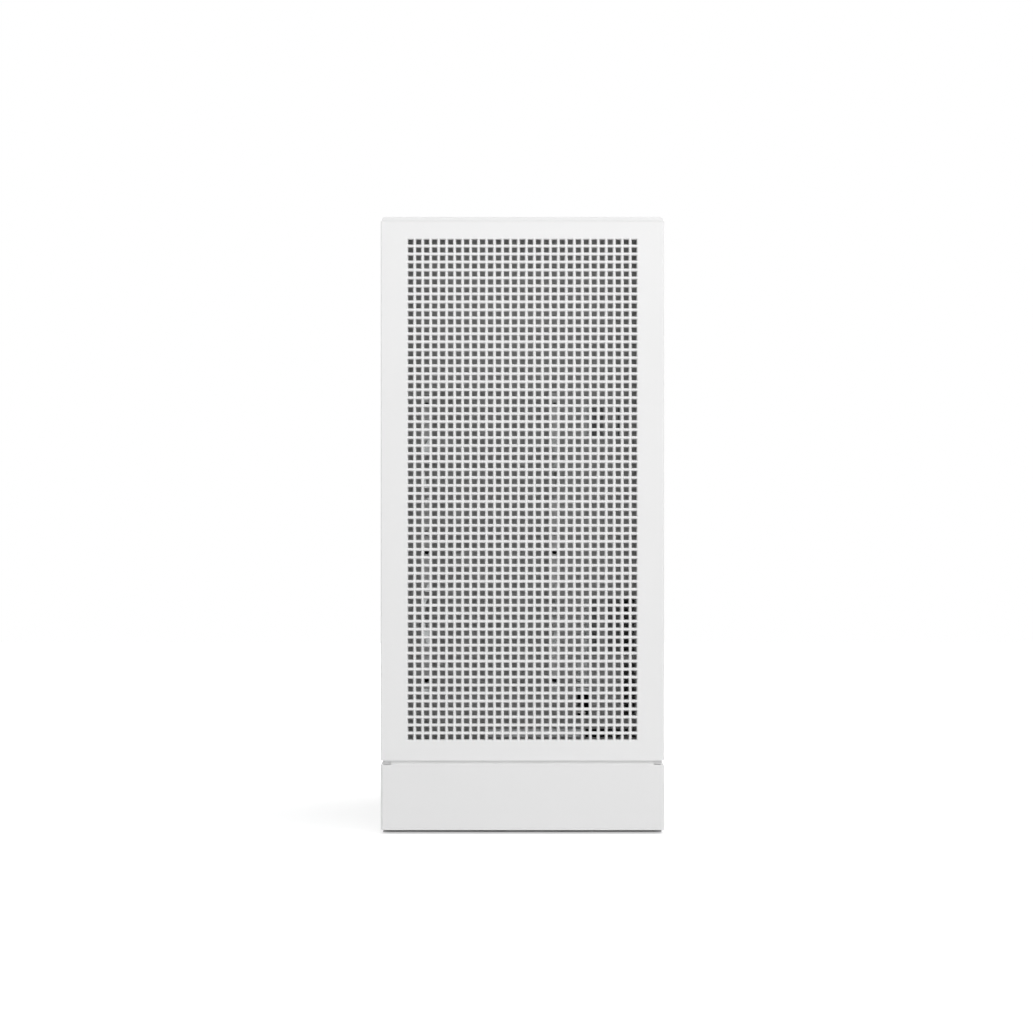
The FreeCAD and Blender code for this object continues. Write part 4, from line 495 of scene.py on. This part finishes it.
def loose_boxes(node):
    """The corners of each loose part of a CAD node, from the lowest place along x, y and z up."""
    shape = bmesh.new()
    shape.from_mesh(frame["nodes"][node].data)
    bmesh.ops.remove_doubles(shape, verts=shape.verts, dist=0.001 * MM)
    left, boxes = set(shape.verts), []
    while left:
        edge, island = [left.pop()], []
        while edge:
            vertex = edge.pop()
            island.append(vertex.co.copy())
            near = {link.other_vert(vertex) for link in vertex.link_edges} & left
            left -= near
            edge.extend(near)
        low = Vector([min(place[axis] for place in island) for axis in range(3)])
        high = Vector([max(place[axis] for place in island) for axis in range(3)])
        boxes.append((low, high))
    shape.free()
    return sorted(boxes, key=lambda box: tuple(round(value, 5) for value in box[0]))


# ---------------------------------------------------------------- fans


CAMBER = 0.1
BLADE_THICK = 1.5 * MM
BLADE_EDGE = 0.4 * MM
BLADE_SWEEP = 0.35
TIP_SHARE = 0.49
HUB_SHARE = 0.36
TIP_FILL = 0.82
HUB_SLOPE_MOST = 0.8
TIP_SLOPE_MOST = 0.7
DEPTH_USED = 0.8
CAP_RIM = 1.8 * MM
CAP_STEP = 0.5 * MM
RING_WALL = 0.9 * MM


def blade(hub, tip, chords, pitches, sweep):
    """One cambered blade. Its chord gets longer and flatter from the hub to the tip."""
    lay_down()
    bpy.ops.mesh.primitive_grid_add(x_subdivisions=8, y_subdivisions=6, size=1.0)
    made = bpy.context.object
    for vertex in made.data.vertices:
        out, across = vertex.co.x + 0.5, vertex.co.y
        radius = hub + out * (tip - hub)
        chord = chords[0] + out * (chords[1] - chords[0])
        pitch = pitches[0] + out * (pitches[1] - pitches[0])
        camber = CAMBER * chord * (1.0 - 4.0 * across**2)
        along = across * chord * math.cos(pitch) - camber * math.sin(pitch)
        rise = across * chord * math.sin(pitch) + camber * math.cos(pitch)
        turn = along / radius + sweep * out**1.5
        vertex.co = (radius * math.cos(turn), radius * math.sin(turn), rise)
    apply_modifier(made, "SOLIDIFY", thickness=BLADE_THICK, offset=0.0)
    soften(made, BLADE_EDGE)
    return made


def fan_rotor(body, node, slot, blades, ringed=False):
    """A rotor of swept blades round a capped hub, on its joint's axis."""
    joint = next(j for j in frame["joints"] if j["child"] == body)
    low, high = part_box(node)
    size = high - low
    upright = abs(joint["axis"][2]) > 0.5
    depth = size.z if upright else size.y
    tip = TIP_SHARE * (size.y if upright else size.z)
    hub = HUB_SHARE * tip
    cap = new_rod((0.0, 0.0, -depth / 2), (0.0, 0.0, depth), hub, 48)
    sink(cap, facing(UP), CAP_RIM, CAP_STEP)
    soften(cap, CAP_STEP)
    reach = tip - (1.0 * MM if ringed else 0.0)
    arc = 2 * math.pi / blades
    tip_chord = TIP_FILL * arc * tip
    hub_reach = 0.8 * arc * hub + 0.45 * depth
    hub_slope = math.asin(min(HUB_SLOPE_MOST, DEPTH_USED * depth / hub_reach))
    tip_slope = math.asin(min(TIP_SLOPE_MOST, DEPTH_USED * depth / tip_chord))
    hub_chord = 0.85 * depth / math.sin(hub_slope)
    root = hub - 0.5 * MM
    first = blade(root, reach, (hub_chord, tip_chord), (hub_slope, tip_slope), BLADE_SWEEP)
    parts = [cap] + [twin(first, Matrix.Rotation(arc * i, 4, "Z")) for i in range(1, blades)]
    parts.append(first)
    if ringed:
        parts.append(blade_ring(tip, depth))
    whole = join(parts)
    stand = (-Vector(joint["axis"])).to_track_quat("Z", "Y").to_matrix().to_4x4()
    whole.data.transform(Matrix.Translation(joint["pos_m"]) @ stand)
    fit(whole, node + "_bladed", body, slot, [node])


def blade_ring(tip, depth):
    """The thin hoop that joins the blade tips of a small fan."""
    lay_down()
    bpy.ops.mesh.primitive_cylinder_add(
        vertices=72, radius=tip - 0.5 * MM, depth=0.7 * depth, end_fill_type="NOTHING"
    )
    hoop = bpy.context.object
    apply_modifier(hoop, "SOLIDIFY", thickness=RING_WALL, offset=0.0)
    return hoop


def corner_pads(node, side):
    """Soft pads on the four corners of a fan's inner face, each with a screw through it."""
    low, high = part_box(node)
    face = high.y if side > 0 else low.y
    start, reach, thick = 0.6 * MM, 16 * MM, 0.9 * MM
    hole_inset, screw_radius = 7.5 * MM, 3.4 * MM
    pads, heads = [], []
    for x, x_way in ((low.x, 1), (high.x, -1)):
        for z, z_way in ((low.z, 1), (high.z, -1)):
            ends = sorted((x + start * x_way, x + reach * x_way))
            rises = sorted((z + start * z_way, z + reach * z_way))
            depths = sorted((face, face + side * thick))
            pad = new_box((ends[0], depths[0], rises[0]), (ends[1], depths[1], rises[1]))
            soften(pad, 0.4 * MM)
            pads.append(pad)
            spot = (x + hole_inset * x_way, face + side * thick, z + hole_inset * z_way)
            heads.append(screw_head(spot, (0.0, float(side), 0.0), screw_radius))
    fit(join(pads), node + "_pads", "chassis", "rubber")
    fit(join(heads), node + "_screws", "chassis", "nickel")


def screw_head(spot, way, radius):
    """A domed screw head on a surface, with a six-sided socket."""
    way = Vector(way)
    head = new_rod(spot, way * radius * 0.55, radius, 24)
    pick(head, facing(way))
    bpy.ops.mesh.bevel(offset=radius * 0.3, segments=3, affect="EDGES")
    bpy.ops.object.mode_set(mode="OBJECT")
    sink(head, facing(way), radius * 0.28, radius * 0.35)
    return head


# ---------------------------------------------------------------- side glass


def side_glass():
    """The glass pane with ground edges, a hair clear of its rails."""
    low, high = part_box("glass_pane")
    rail_gap, ground_edge = 0.15 * MM, 0.7 * MM
    pane = new_box(low, (high.x - rail_gap, high.y, high.z))
    soften(pane, ground_edge, 3)
    fit(pane, "glass_polished", "left_side", "glass", ["glass_pane"])


# ---------------------------------------------------------------- case trim


def groove_ends():
    """Pale stops that close the notches at both ends of the groove over the base."""
    low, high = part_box("base_deck")
    skirt_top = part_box("base_skirt")[1].z
    inward, outward, front_step, length, play = 8.0 * MM, 0.6 * MM, 1.2 * MM, 13 * MM, 0.05 * MM
    ends = []
    for side, edge in ((-1, low.x), (1, high.x)):
        inner, outer = sorted((edge - side * inward, edge + side * outward))
        near, far = low.y + front_step, low.y + length
        stop = new_box((inner, near, skirt_top + play), (outer, far, high.z - play))
        soften(stop, 0.3 * MM)
        ends.append(stop)
    fit(join(ends), "groove_ends", "chassis", "white_plastic")


def fan_gasket():
    """A foam strip on top of the upper front fan, which closes the slot over it."""
    low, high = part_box("upper_fan_frame")
    strip = new_box((low.x, low.y + 0.2 * MM, high.z), (high.x, low.y + 8 * MM, high.z + 6 * MM))
    soften(strip, 1.0 * MM)
    fit(strip, "fan_gasket", "chassis", "fan_white")


def port_tongues():
    """Contact tongues in the top sockets."""
    tongues = []
    for low, high in loose_boxes("front_ports"):
        middle = (low + high) / 2
        size = high - low
        half_thick, half_wide = 0.9 * MM, 0.34 * size.y
        tongue = new_box(
            (middle.x - half_thick, middle.y - half_wide, low.z + 1 * MM),
            (middle.x + half_thick, middle.y + half_wide, high.z - 1.2 * MM),
        )
        soften(tongue, 0.3 * MM)
        tongues.append(tongue)
    fit(join(tongues), "port_tongues", "chassis", "dark_plastic")


def button_ring():
    """A raised ring on the power button's face."""
    low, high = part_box("power_button")
    middle = (low + high) / 2
    wire = 0.25 * MM
    lay_down()
    bpy.ops.mesh.primitive_torus_add(
        location=(middle.x, middle.y, high.z - wire),
        major_segments=64,
        minor_segments=10,
        major_radius=0.36 * (high.x - low.x),
        minor_radius=wire,
    )
    bpy.ops.object.transform_apply(location=True, rotation=True, scale=True)
    fit(bpy.context.object, "button_ring", "button", "nickel")


# ---------------------------------------------------------------- main board


BOARD_THICK = 1.6 * MM
CAN_HEIGHT = 7.2 * MM
CAN_RADIUS = 3.1 * MM
CHIPS = (
    (216, 28, 7, 1.2),
    (200, 118, 9, 1.2),
    (186, 128, 5, 1.0),
    (92, 104, 6, 1.2),
    (16, 118, 11, 1.3),
    (10, 150, 6, 1.0),
    (96, 178, 5, 1.0),
    (104, 262, 5, 1.0),
    (84, 70, 4, 0.9),
    (184, 20, 6, 1.0),
    (26, 96, 5, 0.9),
    (30, 180, 4, 0.9),
    (220, 96, 5, 1.0),
    (98, 126, 4, 0.9),
)
SCREW_PLACES = (
    (10, 10),
    (132, 10),
    (236, 10),
    (10, 162),
    (132, 162),
    (236, 162),
    (10, 290),
    (236, 290),
)


def board_place(y, z):
    """A place on the main board's face, in millimetres from its lower front corner."""
    low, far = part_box("motherboard")
    return (far.x - BOARD_THICK, low.y + y * MM, low.z + z * MM)


def on_board(y, z, wide, tall, high):
    """A box on the main board's face, at a place measured from its lower front corner."""
    face, near_y, near_z = board_place(y, z)
    far = (face, near_y + wide * MM, near_z + tall * MM)
    return new_box((face - high * MM, near_y, near_z), far)


def board_chips():
    """Square chips with a lead frame's edge, spread over the board's free places."""
    chips = []
    for y, z, side, high in CHIPS:
        chip = on_board(y, z, side, side, high)
        sink(chip, facing(OUTWARD), 0.4 * MM, 0.1 * MM)
        chips.append(chip)
    for index in range(6):
        chips.append(on_board(178, 176 + index * 18, 2.4, 5.0, 0.9))
    fit(join(chips), "board_chips", "chassis", "dark_plastic")


def board_small_parts():
    """Rows of tiny resistors and capacitors round the socket, slots and audio corner."""
    first = on_board(0, 0, 0.9, 1.7, 0.6)
    soften(first, 0.12 * MM, 1)
    grid = [(i, j) for i in range(9) for j in range(9) if (i * 5 + j * 3) % 4]
    rows = [(84 + 3.0 * i, 190 + 7.0 * j) for i, j in grid]
    rows += [(202 + 3.4 * i, 44 + 6.0 * j) for i in range(10) for j in range(8) if (i * 3 + j) % 3]
    rows += [(6 + 4.0 * i, 66 + 8.0 * j) for i in range(8) for j in range(5) if (i + 2 * j) % 3]
    rows += [(84 + 3.6 * i, 108 + 5.0 * j) for i in range(12) for j in range(5) if (2 * i + j) % 3]
    rows += [(182 + 2.6 * i, 66 + 9.0 * j) for i in range(5) for j in range(8) if (i + j) % 2]
    parts = [twin(first, (0.0, y * MM, z * MM)) for y, z in rows]
    bpy.data.objects.remove(first)
    fit(join(parts), "board_small_parts", "chassis", "nickel")


def board_cans():
    """Round capacitors with a scored top."""
    cans = []
    spots = [(226, 18 + 9 * i) for i in range(6)] + [(86 + 9 * i, 252) for i in range(4)]
    spots += [(180, 158), (180, 148), (14, 196), (22, 196), (14, 66), (106, 170), (114, 170)]
    for y, z in spots:
        can = new_rod(board_place(y, z), OUTWARD * CAN_HEIGHT, CAN_RADIUS, 24)
        soften(can, 0.35 * MM)
        sink(can, facing(OUTWARD), 0.5 * MM, 0.15 * MM)
        cans.append(can)
    fit(join(cans), "board_cans", "chassis", "nickel")


def board_screws():
    """Pan-head screws over the spacers."""
    radius = 3.2 * MM
    heads = [screw_head(board_place(y, z), OUTWARD, radius) for y, z in SCREW_PLACES]
    fit(join(heads), "board_screws", "chassis", "nickel")


def slot_armour():
    """Bright steel shells round the long card slots, and their latches."""
    low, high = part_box("expansion_slots")
    pitch, half_slot, half_shell = 40.64 * MM, 3.7 * MM, 3.9 * MM
    inset, half_sheet, latch_length, half_latch = 1 * MM, 0.2 * MM, 9 * MM, 3 * MM
    shells, latches = [], []
    for index in range(3):
        middle = high.z - half_slot - index * pitch
        for way in (-1, 1):
            wall = middle + way * half_shell
            near = (low.x + inset, low.y + inset, wall - half_sheet)
            shells.append(new_box(near, (high.x, high.y - inset, wall + half_sheet)))
        near = (low.x - inset, low.y - latch_length, middle - half_latch)
        latch = new_box(near, (high.x, low.y, middle + half_latch))
        soften(latch, 0.8 * MM)
        latches.append(latch)
    fit(join(shells), "slot_shells", "chassis", "bare_steel")
    fit(join(latches), "slot_latches", "chassis", "fan_white")


def memory_sticks():
    """Four memory modules: each has a socket, a ridged white spreader and a frosted top bar."""
    low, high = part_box("memory_modules")
    spreaders, bars, sockets = [], [], []
    foot, top = low.z + 3 * MM, low.z + 136.3 * MM
    stops = [foot + share * (top - foot) for share in (0.2, 0.24, 0.5, 0.76, 0.8)]
    for stick_low, stick_high in loose_boxes("memory_modules"):
        y = (stick_low.y + stick_high.y) / 2
        cover = new_box((low.x + 3 * MM, y - 2.9 * MM, foot), (high.x - 9 * MM, y + 2.9 * MM, top))
        slice_along(cover, 2, stops)
        bands = ((0.0, 0.2), (0.24, 0.5), (0.5, 0.76), (0.8, 1.0))
        for start, end in bands:
            span = (foot + start * (top - foot), foot + end * (top - foot))
            sink(
                cover,
                lambda middle, normal: abs(normal.y) > 0.9 and span[0] < middle.z < span[1],
                1.0 * MM,
                0.5 * MM,
            )
        soften(cover, 0.3 * MM)
        spreaders.append(cover)
        bar = new_box(
            (low.x, y - 2.1 * MM, foot + 2 * MM), (low.x + 3.2 * MM, y + 2.1 * MM, top - 2 * MM)
        )
        soften(bar, 1.2 * MM, 3)
        bars.append(bar)
        socket = new_box((high.x - 8 * MM, y - 3.2 * MM, low.z), (high.x, y + 3.2 * MM, high.z))
        slice_along(socket, 2, [foot - 0.5 * MM, top + 0.5 * MM])
        pick(socket, lambda middle, normal: normal.x < -0.9 and not foot < middle.z < top)
        bpy.ops.mesh.extrude_region_shrink_fatten(TRANSFORM_OT_shrink_fatten={"value": 4 * MM})
        bpy.ops.object.mode_set(mode="OBJECT")
        soften(socket, 0.5 * MM)
        sockets.append(socket)
    fit(join(spreaders), "memory_spreaders", "chassis", "fan_white", ["memory_modules"])
    fit(join(bars), "memory_bars", "chassis", "fan_white", (), FROSTED)
    fit(join(sockets), "memory_sockets", "chassis", "dark_plastic")


# ---------------------------------------------------------------- cooler and graphics card


def cooler_trim():
    """A brushed plate on the outermost fin, the pipe ends through it, and the fan's wire clips."""
    low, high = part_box("cooler_heatsink")
    middle = (low + high) / 2
    plate = new_box(
        (low.x - 0.4 * MM, low.y + 1 * MM, low.z + 1 * MM),
        (low.x + 0.6 * MM, high.y - 1 * MM, high.z - 1 * MM),
    )
    sink(plate, facing(OUTWARD), 3 * MM, 0.3 * MM)
    ends = []
    for row in (-15, -5, 5, 15):
        for way in (-1, 1):
            foot = (low.x - 0.2 * MM, middle.y + way * 11 * MM, middle.z + row * 2.2 * MM)
            end = new_rod(foot, OUTWARD * 2.4 * MM, 3.0 * MM, 24)
            soften(end, 1.0 * MM, 3)
            ends.append(end)
    fit(plate, "cooler_plate", "chassis", "fin_aluminium")
    fit(join(ends), "cooler_pipe_ends", "chassis", "nickel")
    fan_low, fan_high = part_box("cooler_fan_frame")
    wire, stand_off = 0.7 * MM, 1.4 * MM
    along = (0.0, high.y - fan_low.y - 18 * MM, 0.0)
    across = (fan_high.x - fan_low.x - 16 * MM, 0.0, 0.0)
    clips = []
    for edge, way in ((fan_low.z, -1), (fan_high.z, 1)):
        z = edge + way * stand_off
        for x in (fan_low.x + 8 * MM, fan_high.x - 8 * MM):
            corner = (x, fan_low.y - stand_off, z)
            clips.append(new_rod(corner, along, wire, 12))
            clips.append(new_rod(corner, (0.0, 0.0, -way * 9 * MM), wire, 12))
        clips.append(new_rod((fan_low.x + 8 * MM, high.y - 19.4 * MM, z), across, wire, 12))
    fit(join(clips), "cooler_fan_clips", "chassis", "bare_steel")


def card_cover():
    """Stepped side trim of the graphics card with a frosted strip, and grooves under the fans."""
    low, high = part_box("graphics_shroud")
    side = new_box(
        (low.x - 1.6 * MM, low.y + 4 * MM, low.z + 3 * MM),
        (low.x + 0.2 * MM, high.y - 3 * MM, high.z - 3 * MM),
    )
    length = high.y - low.y
    slice_along(side, 1, [low.y + share * length for share in (0.3, 0.36, 0.66, 0.72)])
    for start, end, depth in ((0.0, 0.3, 0.6), (0.36, 0.66, 1.0), (0.72, 1.0, 0.6)):
        span = (low.y + start * length, low.y + end * length)
        sink(
            side,
            lambda middle, normal: normal.x < -0.9 and span[0] < middle.y < span[1],
            3.5 * MM,
            depth * MM,
        )
    soften(side, 0.5 * MM)
    fit(side, "card_side_trim", "chassis", "fan_white")
    strip = new_box(
        (low.x - 1.9 * MM, low.y + 0.4 * length, high.z - 15 * MM),
        (low.x - 0.4 * MM, low.y + 0.62 * length, high.z - 12 * MM),
    )
    soften(strip, 0.6 * MM, 3)
    fit(strip, "card_light_strip", "chassis", "fan_white", (), FROSTED)
    end = new_box(
        (low.x + 6 * MM, low.y - 1.2 * MM, low.z + 5 * MM),
        (high.x - 6 * MM, low.y + 0.2 * MM, high.z - 5 * MM),
    )
    ribs = (0.2, 0.35, 0.5, 0.65, 0.8)
    slice_along(end, 0, [low.x + share * (high.x - low.x) for share in ribs])
    sink(end, facing(FORWARD), 2.2 * MM, 0.8 * MM)
    soften(end, 0.3 * MM)
    fit(end, "card_end_trim", "chassis", "fan_white")


def card_back_detail():
    """Screws on the graphics card's back plate: two rows, and four round its chip."""
    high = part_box("graphics_metalwork")[1]
    card_low, card_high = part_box("graphics_shroud")
    heads = []
    for x in (card_low.x + 6 * MM, card_high.x - 6 * MM):
        for share in (0.03, 0.34, 0.66, 0.96):
            y = card_low.y + share * (card_high.y - card_low.y)
            heads.append(screw_head((x, y, high.z), UP, 2.0 * MM))
    chip_x = (card_low.x + card_high.x) / 2
    chip_y = card_low.y + 0.58 * (card_high.y - card_low.y)
    for x_way in (-1, 1):
        for y_way in (-1, 1):
            spot = (chip_x + 24 * x_way * MM, chip_y + 24 * y_way * MM, high.z)
            heads.append(screw_head(spot, UP, 2.6 * MM))
    fit(join(heads), "card_back_screws", "chassis", "nickel")


def lead_plugs():
    """Ribbed plugs on the leads at the main board and the graphics card."""
    board_low, board_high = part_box("motherboard")
    face = board_high.x - BOARD_THICK
    plug = new_box(
        (face - 14.5 * MM, board_low.y - 13 * MM, board_low.z + 206 * MM),
        (face - 1.5 * MM, board_low.y + 1.4 * MM, board_low.z + 256 * MM),
    )
    slice_along(plug, 2, [board_low.z + (206 + 50 * i / 12) * MM for i in range(1, 12)])
    sink(plug, facing(FORWARD), 0.7 * MM, 1.2 * MM)
    soften(plug, 0.4 * MM)
    card_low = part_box("graphics_board")[0]
    lead_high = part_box("card_power_lead")[1]
    y = card_low.y - 12 * MM + 78 * MM
    z = lead_high.z - 4 * MM
    tap = new_box(
        (card_low.x - 9 * MM, y - 14 * MM, z - 4 * MM),
        (card_low.x + 1 * MM, y + 14 * MM, z + 4 * MM),
    )
    slice_along(tap, 1, [y + 4.6 * i * MM for i in (-2, -1, 0, 1, 2)])
    sink(tap, facing(OUTWARD), 0.6 * MM, 1.0 * MM)
    soften(tap, 0.4 * MM)
    fit(join([plug, tap]), "lead_plugs", "chassis", "fan_white")


# ---------------------------------------------------------------- sockets on the back and top


def rear_socket_tongues():
    """Coloured tongues in the back's wide sockets and coloured rings on its audio jacks."""
    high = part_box("rear_ports")[1]
    top = high.z
    tongues = []
    for near, far, wide in ((4, 18, 36), (24, 38, 36), (90, 104, 36)):
        for place in range(2):
            start = high.x - (wide - wide / 2 * (place + 0.2)) * MM + 1.0 * MM
            end = high.x - (wide - wide / 2 * (place + 0.8)) * MM - 1.0 * MM
            for share in (0.32, 0.72):
                z = top - (near + share * (far - near)) * MM
                tongue = new_box(
                    (start, high.y - 9 * MM, z - 0.9 * MM), (end, high.y - 1.6 * MM, z + 0.9 * MM)
                )
                soften(tongue, 0.25 * MM, 1)
                tongues.append(tongue)
            middle = top - (near + 0.52 * (far - near)) * MM
            bridge = new_box(
                (start - 1.4 * MM, high.y - 9 * MM, middle - 0.4 * MM),
                (end + 1.4 * MM, high.y - 0.4 * MM, middle + 0.4 * MM),
            )
            tongues.append(bridge)
    fit(join(tongues), "rear_tongues", "chassis", "dark_plastic", (), BLUE_PLASTIC)
    for place, finish in enumerate((PINK_PLASTIC, GREEN_PLASTIC, BLUE_PLASTIC)):
        lay_down()
        x = high.x - 34 * (1 - (place + 0.5) / 3) * MM
        bpy.ops.mesh.primitive_torus_add(
            location=(x, high.y - 0.1 * MM, top - 143 * MM),
            rotation=(math.radians(90.0), 0.0, 0.0),
            major_segments=36,
            minor_segments=10,
            major_radius=3.7 * MM,
            minor_radius=0.75 * MM,
        )
        bpy.ops.object.transform_apply(location=True, rotation=True, scale=True)
        fit(bpy.context.object, "audio_ring_%d" % place, "chassis", "dark_plastic", (), finish)


def rear_shells():
    """Shells in the back's picture and network sockets, with a tongue or a row of contacts."""
    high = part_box("rear_ports")[1]
    shells, tongues, contacts = [], [], []
    for near, far, wide in ((44, 62, 38), (68, 84, 30), (110, 126, 26)):
        left, right = high.x - 0.8 * wide * MM, high.x - 0.2 * wide * MM
        bottom, roof = high.z - (far - 1.6) * MM, high.z - (near + 1.6) * MM
        shell = new_box((left, high.y - 8 * MM, bottom), (right, high.y - 0.3 * MM, roof))
        sink(shell, facing((0.0, 1.0, 0.0)), 0.7 * MM, 7 * MM)
        soften(shell, 0.15 * MM, 1)
        shells.append(shell)
        middle = (bottom + roof) / 2
        if wide == 30:
            for index in range(8):
                x = (left + right) / 2 + (index - 3.5) * 1.1 * MM
                foot, tip = (x, high.y - 7 * MM, roof - 1.2 * MM), (0.0, 5 * MM, -3.4 * MM)
                contacts.append(new_rod(foot, tip, 0.25 * MM, 12))
        else:
            span = 0.36 * (right - left)
            tongue = new_box(
                ((left + right) / 2 - span, high.y - 7.2 * MM, middle - 0.9 * MM),
                ((left + right) / 2 + span, high.y - 1.6 * MM, middle + 0.9 * MM),
            )
            soften(tongue, 0.3 * MM, 1)
            tongues.append(tongue)
    fit(join(shells), "rear_shells", "chassis", "nickel")
    fit(join(tongues), "picture_tongues", "chassis", "dark_plastic")
    fit(join(contacts), "network_contacts", "chassis", "nickel", (), GOLD)


def knurled_screws():
    """Thumb screws with a knurled rim, a stepped face and a sunk middle."""
    parts = []
    for low, high in loose_boxes("thumb_screws"):
        middle = (low + high) / 2
        radius = (high.x - low.x) / 2
        head = new_rod((middle.x, low.y, middle.z), (0.0, 5 * MM, 0.0), radius, 48)
        pick(head, rim_tooth(middle))
        bpy.ops.mesh.inset(thickness=0.08 * MM, depth=-0.3 * MM, use_individual=True)
        bpy.ops.object.mode_set(mode="OBJECT")
        sink(head, facing((0.0, 1.0, 0.0)), 0.8 * MM, -0.4 * MM)
        parts.append(head)
        foot, length = low.y + 4.8 * MM, high.y - low.y - 4.8 * MM
        boss = new_rod((middle.x, foot, middle.z), (0.0, length, 0.0), 2.5 * MM, 32)
        soften(boss, 0.3 * MM)
        sink(boss, facing((0.0, 1.0, 0.0)), 1.1 * MM, 0.6 * MM)
        parts.append(boss)
    fit(join(parts), "thumb_screws_knurled", "chassis", "nickel", ["thumb_screws"])


def rim_tooth(middle):
    """A test for every second face round a screw's rim, which has 48 faces."""
    step = 7.5

    def test(place, normal):
        if abs(normal.y) > 0.5:
            return False
        turn = math.degrees(math.atan2(place.x - middle.x, place.z - middle.z)) % 360.0
        return int(turn // step) % 2 == 0

    return test


# ---------------------------------------------------------------- light, floor and camera

WORLD_STRENGTH = 0.36
FLOOR_SIZE = 9.0
FLOOR_TONE = 0.55
GLOW_AT_MIDDLE = 0.42
GLOW_PER_METRE = 0.5
VIEW_WIDTH = 0.838
CAMERA_X = -0.0048
CAMERA_HEIGHT = 0.2576


def plain_world():
    """White where the camera, a reflection or glass sees it, and a soft grey light elsewhere."""
    world = bpy.data.worlds.new("studio")
    bpy.context.scene.world = world
    world.use_nodes = True
    tree = world.node_tree
    tree.nodes.clear()
    path = tree.nodes.new("ShaderNodeLightPath")
    seen = tree.nodes.new("ShaderNodeMath")
    seen.operation = "MAXIMUM"
    through = tree.nodes.new("ShaderNodeMath")
    through.operation = "MAXIMUM"
    tree.links.new(path.outputs["Is Camera Ray"], seen.inputs[0])
    tree.links.new(path.outputs["Is Glossy Ray"], seen.inputs[1])
    tree.links.new(seen.outputs[0], through.inputs[0])
    tree.links.new(path.outputs["Is Transmission Ray"], through.inputs[1])
    light = tree.nodes.new("ShaderNodeBackground")
    light.inputs["Strength"].default_value = WORLD_STRENGTH
    white = tree.nodes.new("ShaderNodeBackground")
    white.inputs["Color"].default_value = (1.0, 1.0, 1.0, 1.0)
    mix = tree.nodes.new("ShaderNodeMixShader")
    out = tree.nodes.new("ShaderNodeOutputWorld")
    tree.links.new(through.outputs[0], mix.inputs[0])
    tree.links.new(light.outputs[0], mix.inputs[1])
    tree.links.new(white.outputs[0], mix.inputs[2])
    tree.links.new(mix.outputs[0], out.inputs[0])


def soft_box(name, place, target, width, height, watts):
    """A rectangular studio lamp aimed at target."""
    lamp = bpy.data.lights.new(name, "AREA")
    lamp.shape = "RECTANGLE"
    lamp.size = width
    lamp.size_y = height
    lamp.energy = watts
    holder = bpy.data.objects.new(name, lamp)
    holder.location = place
    holder.rotation_euler = (Vector(target) - Vector(place)).to_track_quat("-Z", "Y").to_euler()
    bpy.context.scene.collection.objects.link(holder)


def lights():
    """Six soft lamps: four on the front and top, one behind and one on the glass side."""
    middle = (cad_box[0] + cad_box[1]) / 2
    crown = Vector((middle.x, middle.y, cad_box[1].z))
    soft_box("left_box", (-1.5, -1.2, 1.5), crown, 1.2, 1.2, 9.5)
    soft_box("right_box", (1.4, -1.3, 1.4), crown, 1.2, 1.2, 19.5)
    soft_box("top_box", (0.1, -0.7, 1.9), crown, 1.6, 1.6, 13.5)
    soft_box("front_box", (0.3, -3.6, 0.5), crown, 2.0, 1.0, 13.0)
    soft_box("back_box", (0.6, 2.6, 1.0), middle, 1.8, 1.4, 24.0)
    soft_box("glass_side_box", (-2.4, 0.7, 1.1), middle, 1.4, 1.4, 13.0)


def floor():
    """A pale floor that shows white to the camera and keeps the shadow."""
    bpy.ops.object.select_all(action="DESELECT")
    bpy.ops.mesh.primitive_plane_add(size=FLOOR_SIZE, location=(0.0, 0.0, cad_box[0].z))
    ground = bpy.context.object
    ground.name = "floor"
    finish = Finish("pale_floor")
    shade = finish.surface(Base_Color=(FLOOR_TONE, FLOOR_TONE, FLOOR_TONE, 1.0), Roughness=0.9)
    path = finish.node("ShaderNodeLightPath")
    outputs = path.socket.node.outputs
    seen = [Wire(finish, outputs[name]) for name in ("Is Camera Ray", "Is Glossy Ray")]
    x, y = finish.axes()[:2]
    distance = (x * x + y * y) ** 0.5
    lift = (GLOW_AT_MIDDLE + GLOW_PER_METRE * distance).least(1.0) * seen[0].most(seen[1])
    glow = finish.node("ShaderNodeEmission", inputs={"Strength": lift})
    both = finish.node("ShaderNodeAddShader", inputs={0: shade, 1: glow})
    ground.data.materials.append(finish.done(both))


def camera():
    """A long lens straight at the front, a little left of its middle."""
    lens, sensor = 135.0, 36.0
    front = cad_box[0].y
    distance = VIEW_WIDTH * lens / sensor
    data = bpy.data.cameras.new("camera")
    data.lens = lens
    data.sensor_width = sensor
    holder = bpy.data.objects.new("camera", data)
    holder.location = (CAMERA_X, front - distance, CAMERA_HEIGHT)
    holder.rotation_euler = (math.radians(90.0), 0.0, 0.0)
    bpy.context.scene.collection.objects.link(holder)
    bpy.context.scene.camera = holder


coat_cad_nodes()
for axle in ("lower", "upper", "rear"):
    fan_rotor(axle + "_fan", axle + "_fan_rotor", "fan_white", 9)
fan_rotor("cooler_fan", "cooler_fan_rotor", "fan_white", 9)
fan_rotor("supply_fan", "psu_fan_rotor", "dark_plastic", 7)
fan_rotor("card_front_fan", "card_front_rotor", "fan_white", 11, True)
fan_rotor("card_back_fan", "card_back_rotor", "fan_white", 11, True)
for axle, side in (("lower", 1), ("upper", 1), ("rear", -1), ("cooler", -1)):
    corner_pads(axle + "_fan_frame", side)
side_glass()
groove_ends()
fan_gasket()
port_tongues()
button_ring()
board_chips()
board_small_parts()
board_cans()
board_screws()
slot_armour()
memory_sticks()
cooler_trim()
card_cover()
card_back_detail()
lead_plugs()
rear_socket_tongues()
rear_shells()
knurled_screws()
plain_world()
lights()
floor()
camera()
bpy.context.scene.view_settings.view_transform = "Standard"
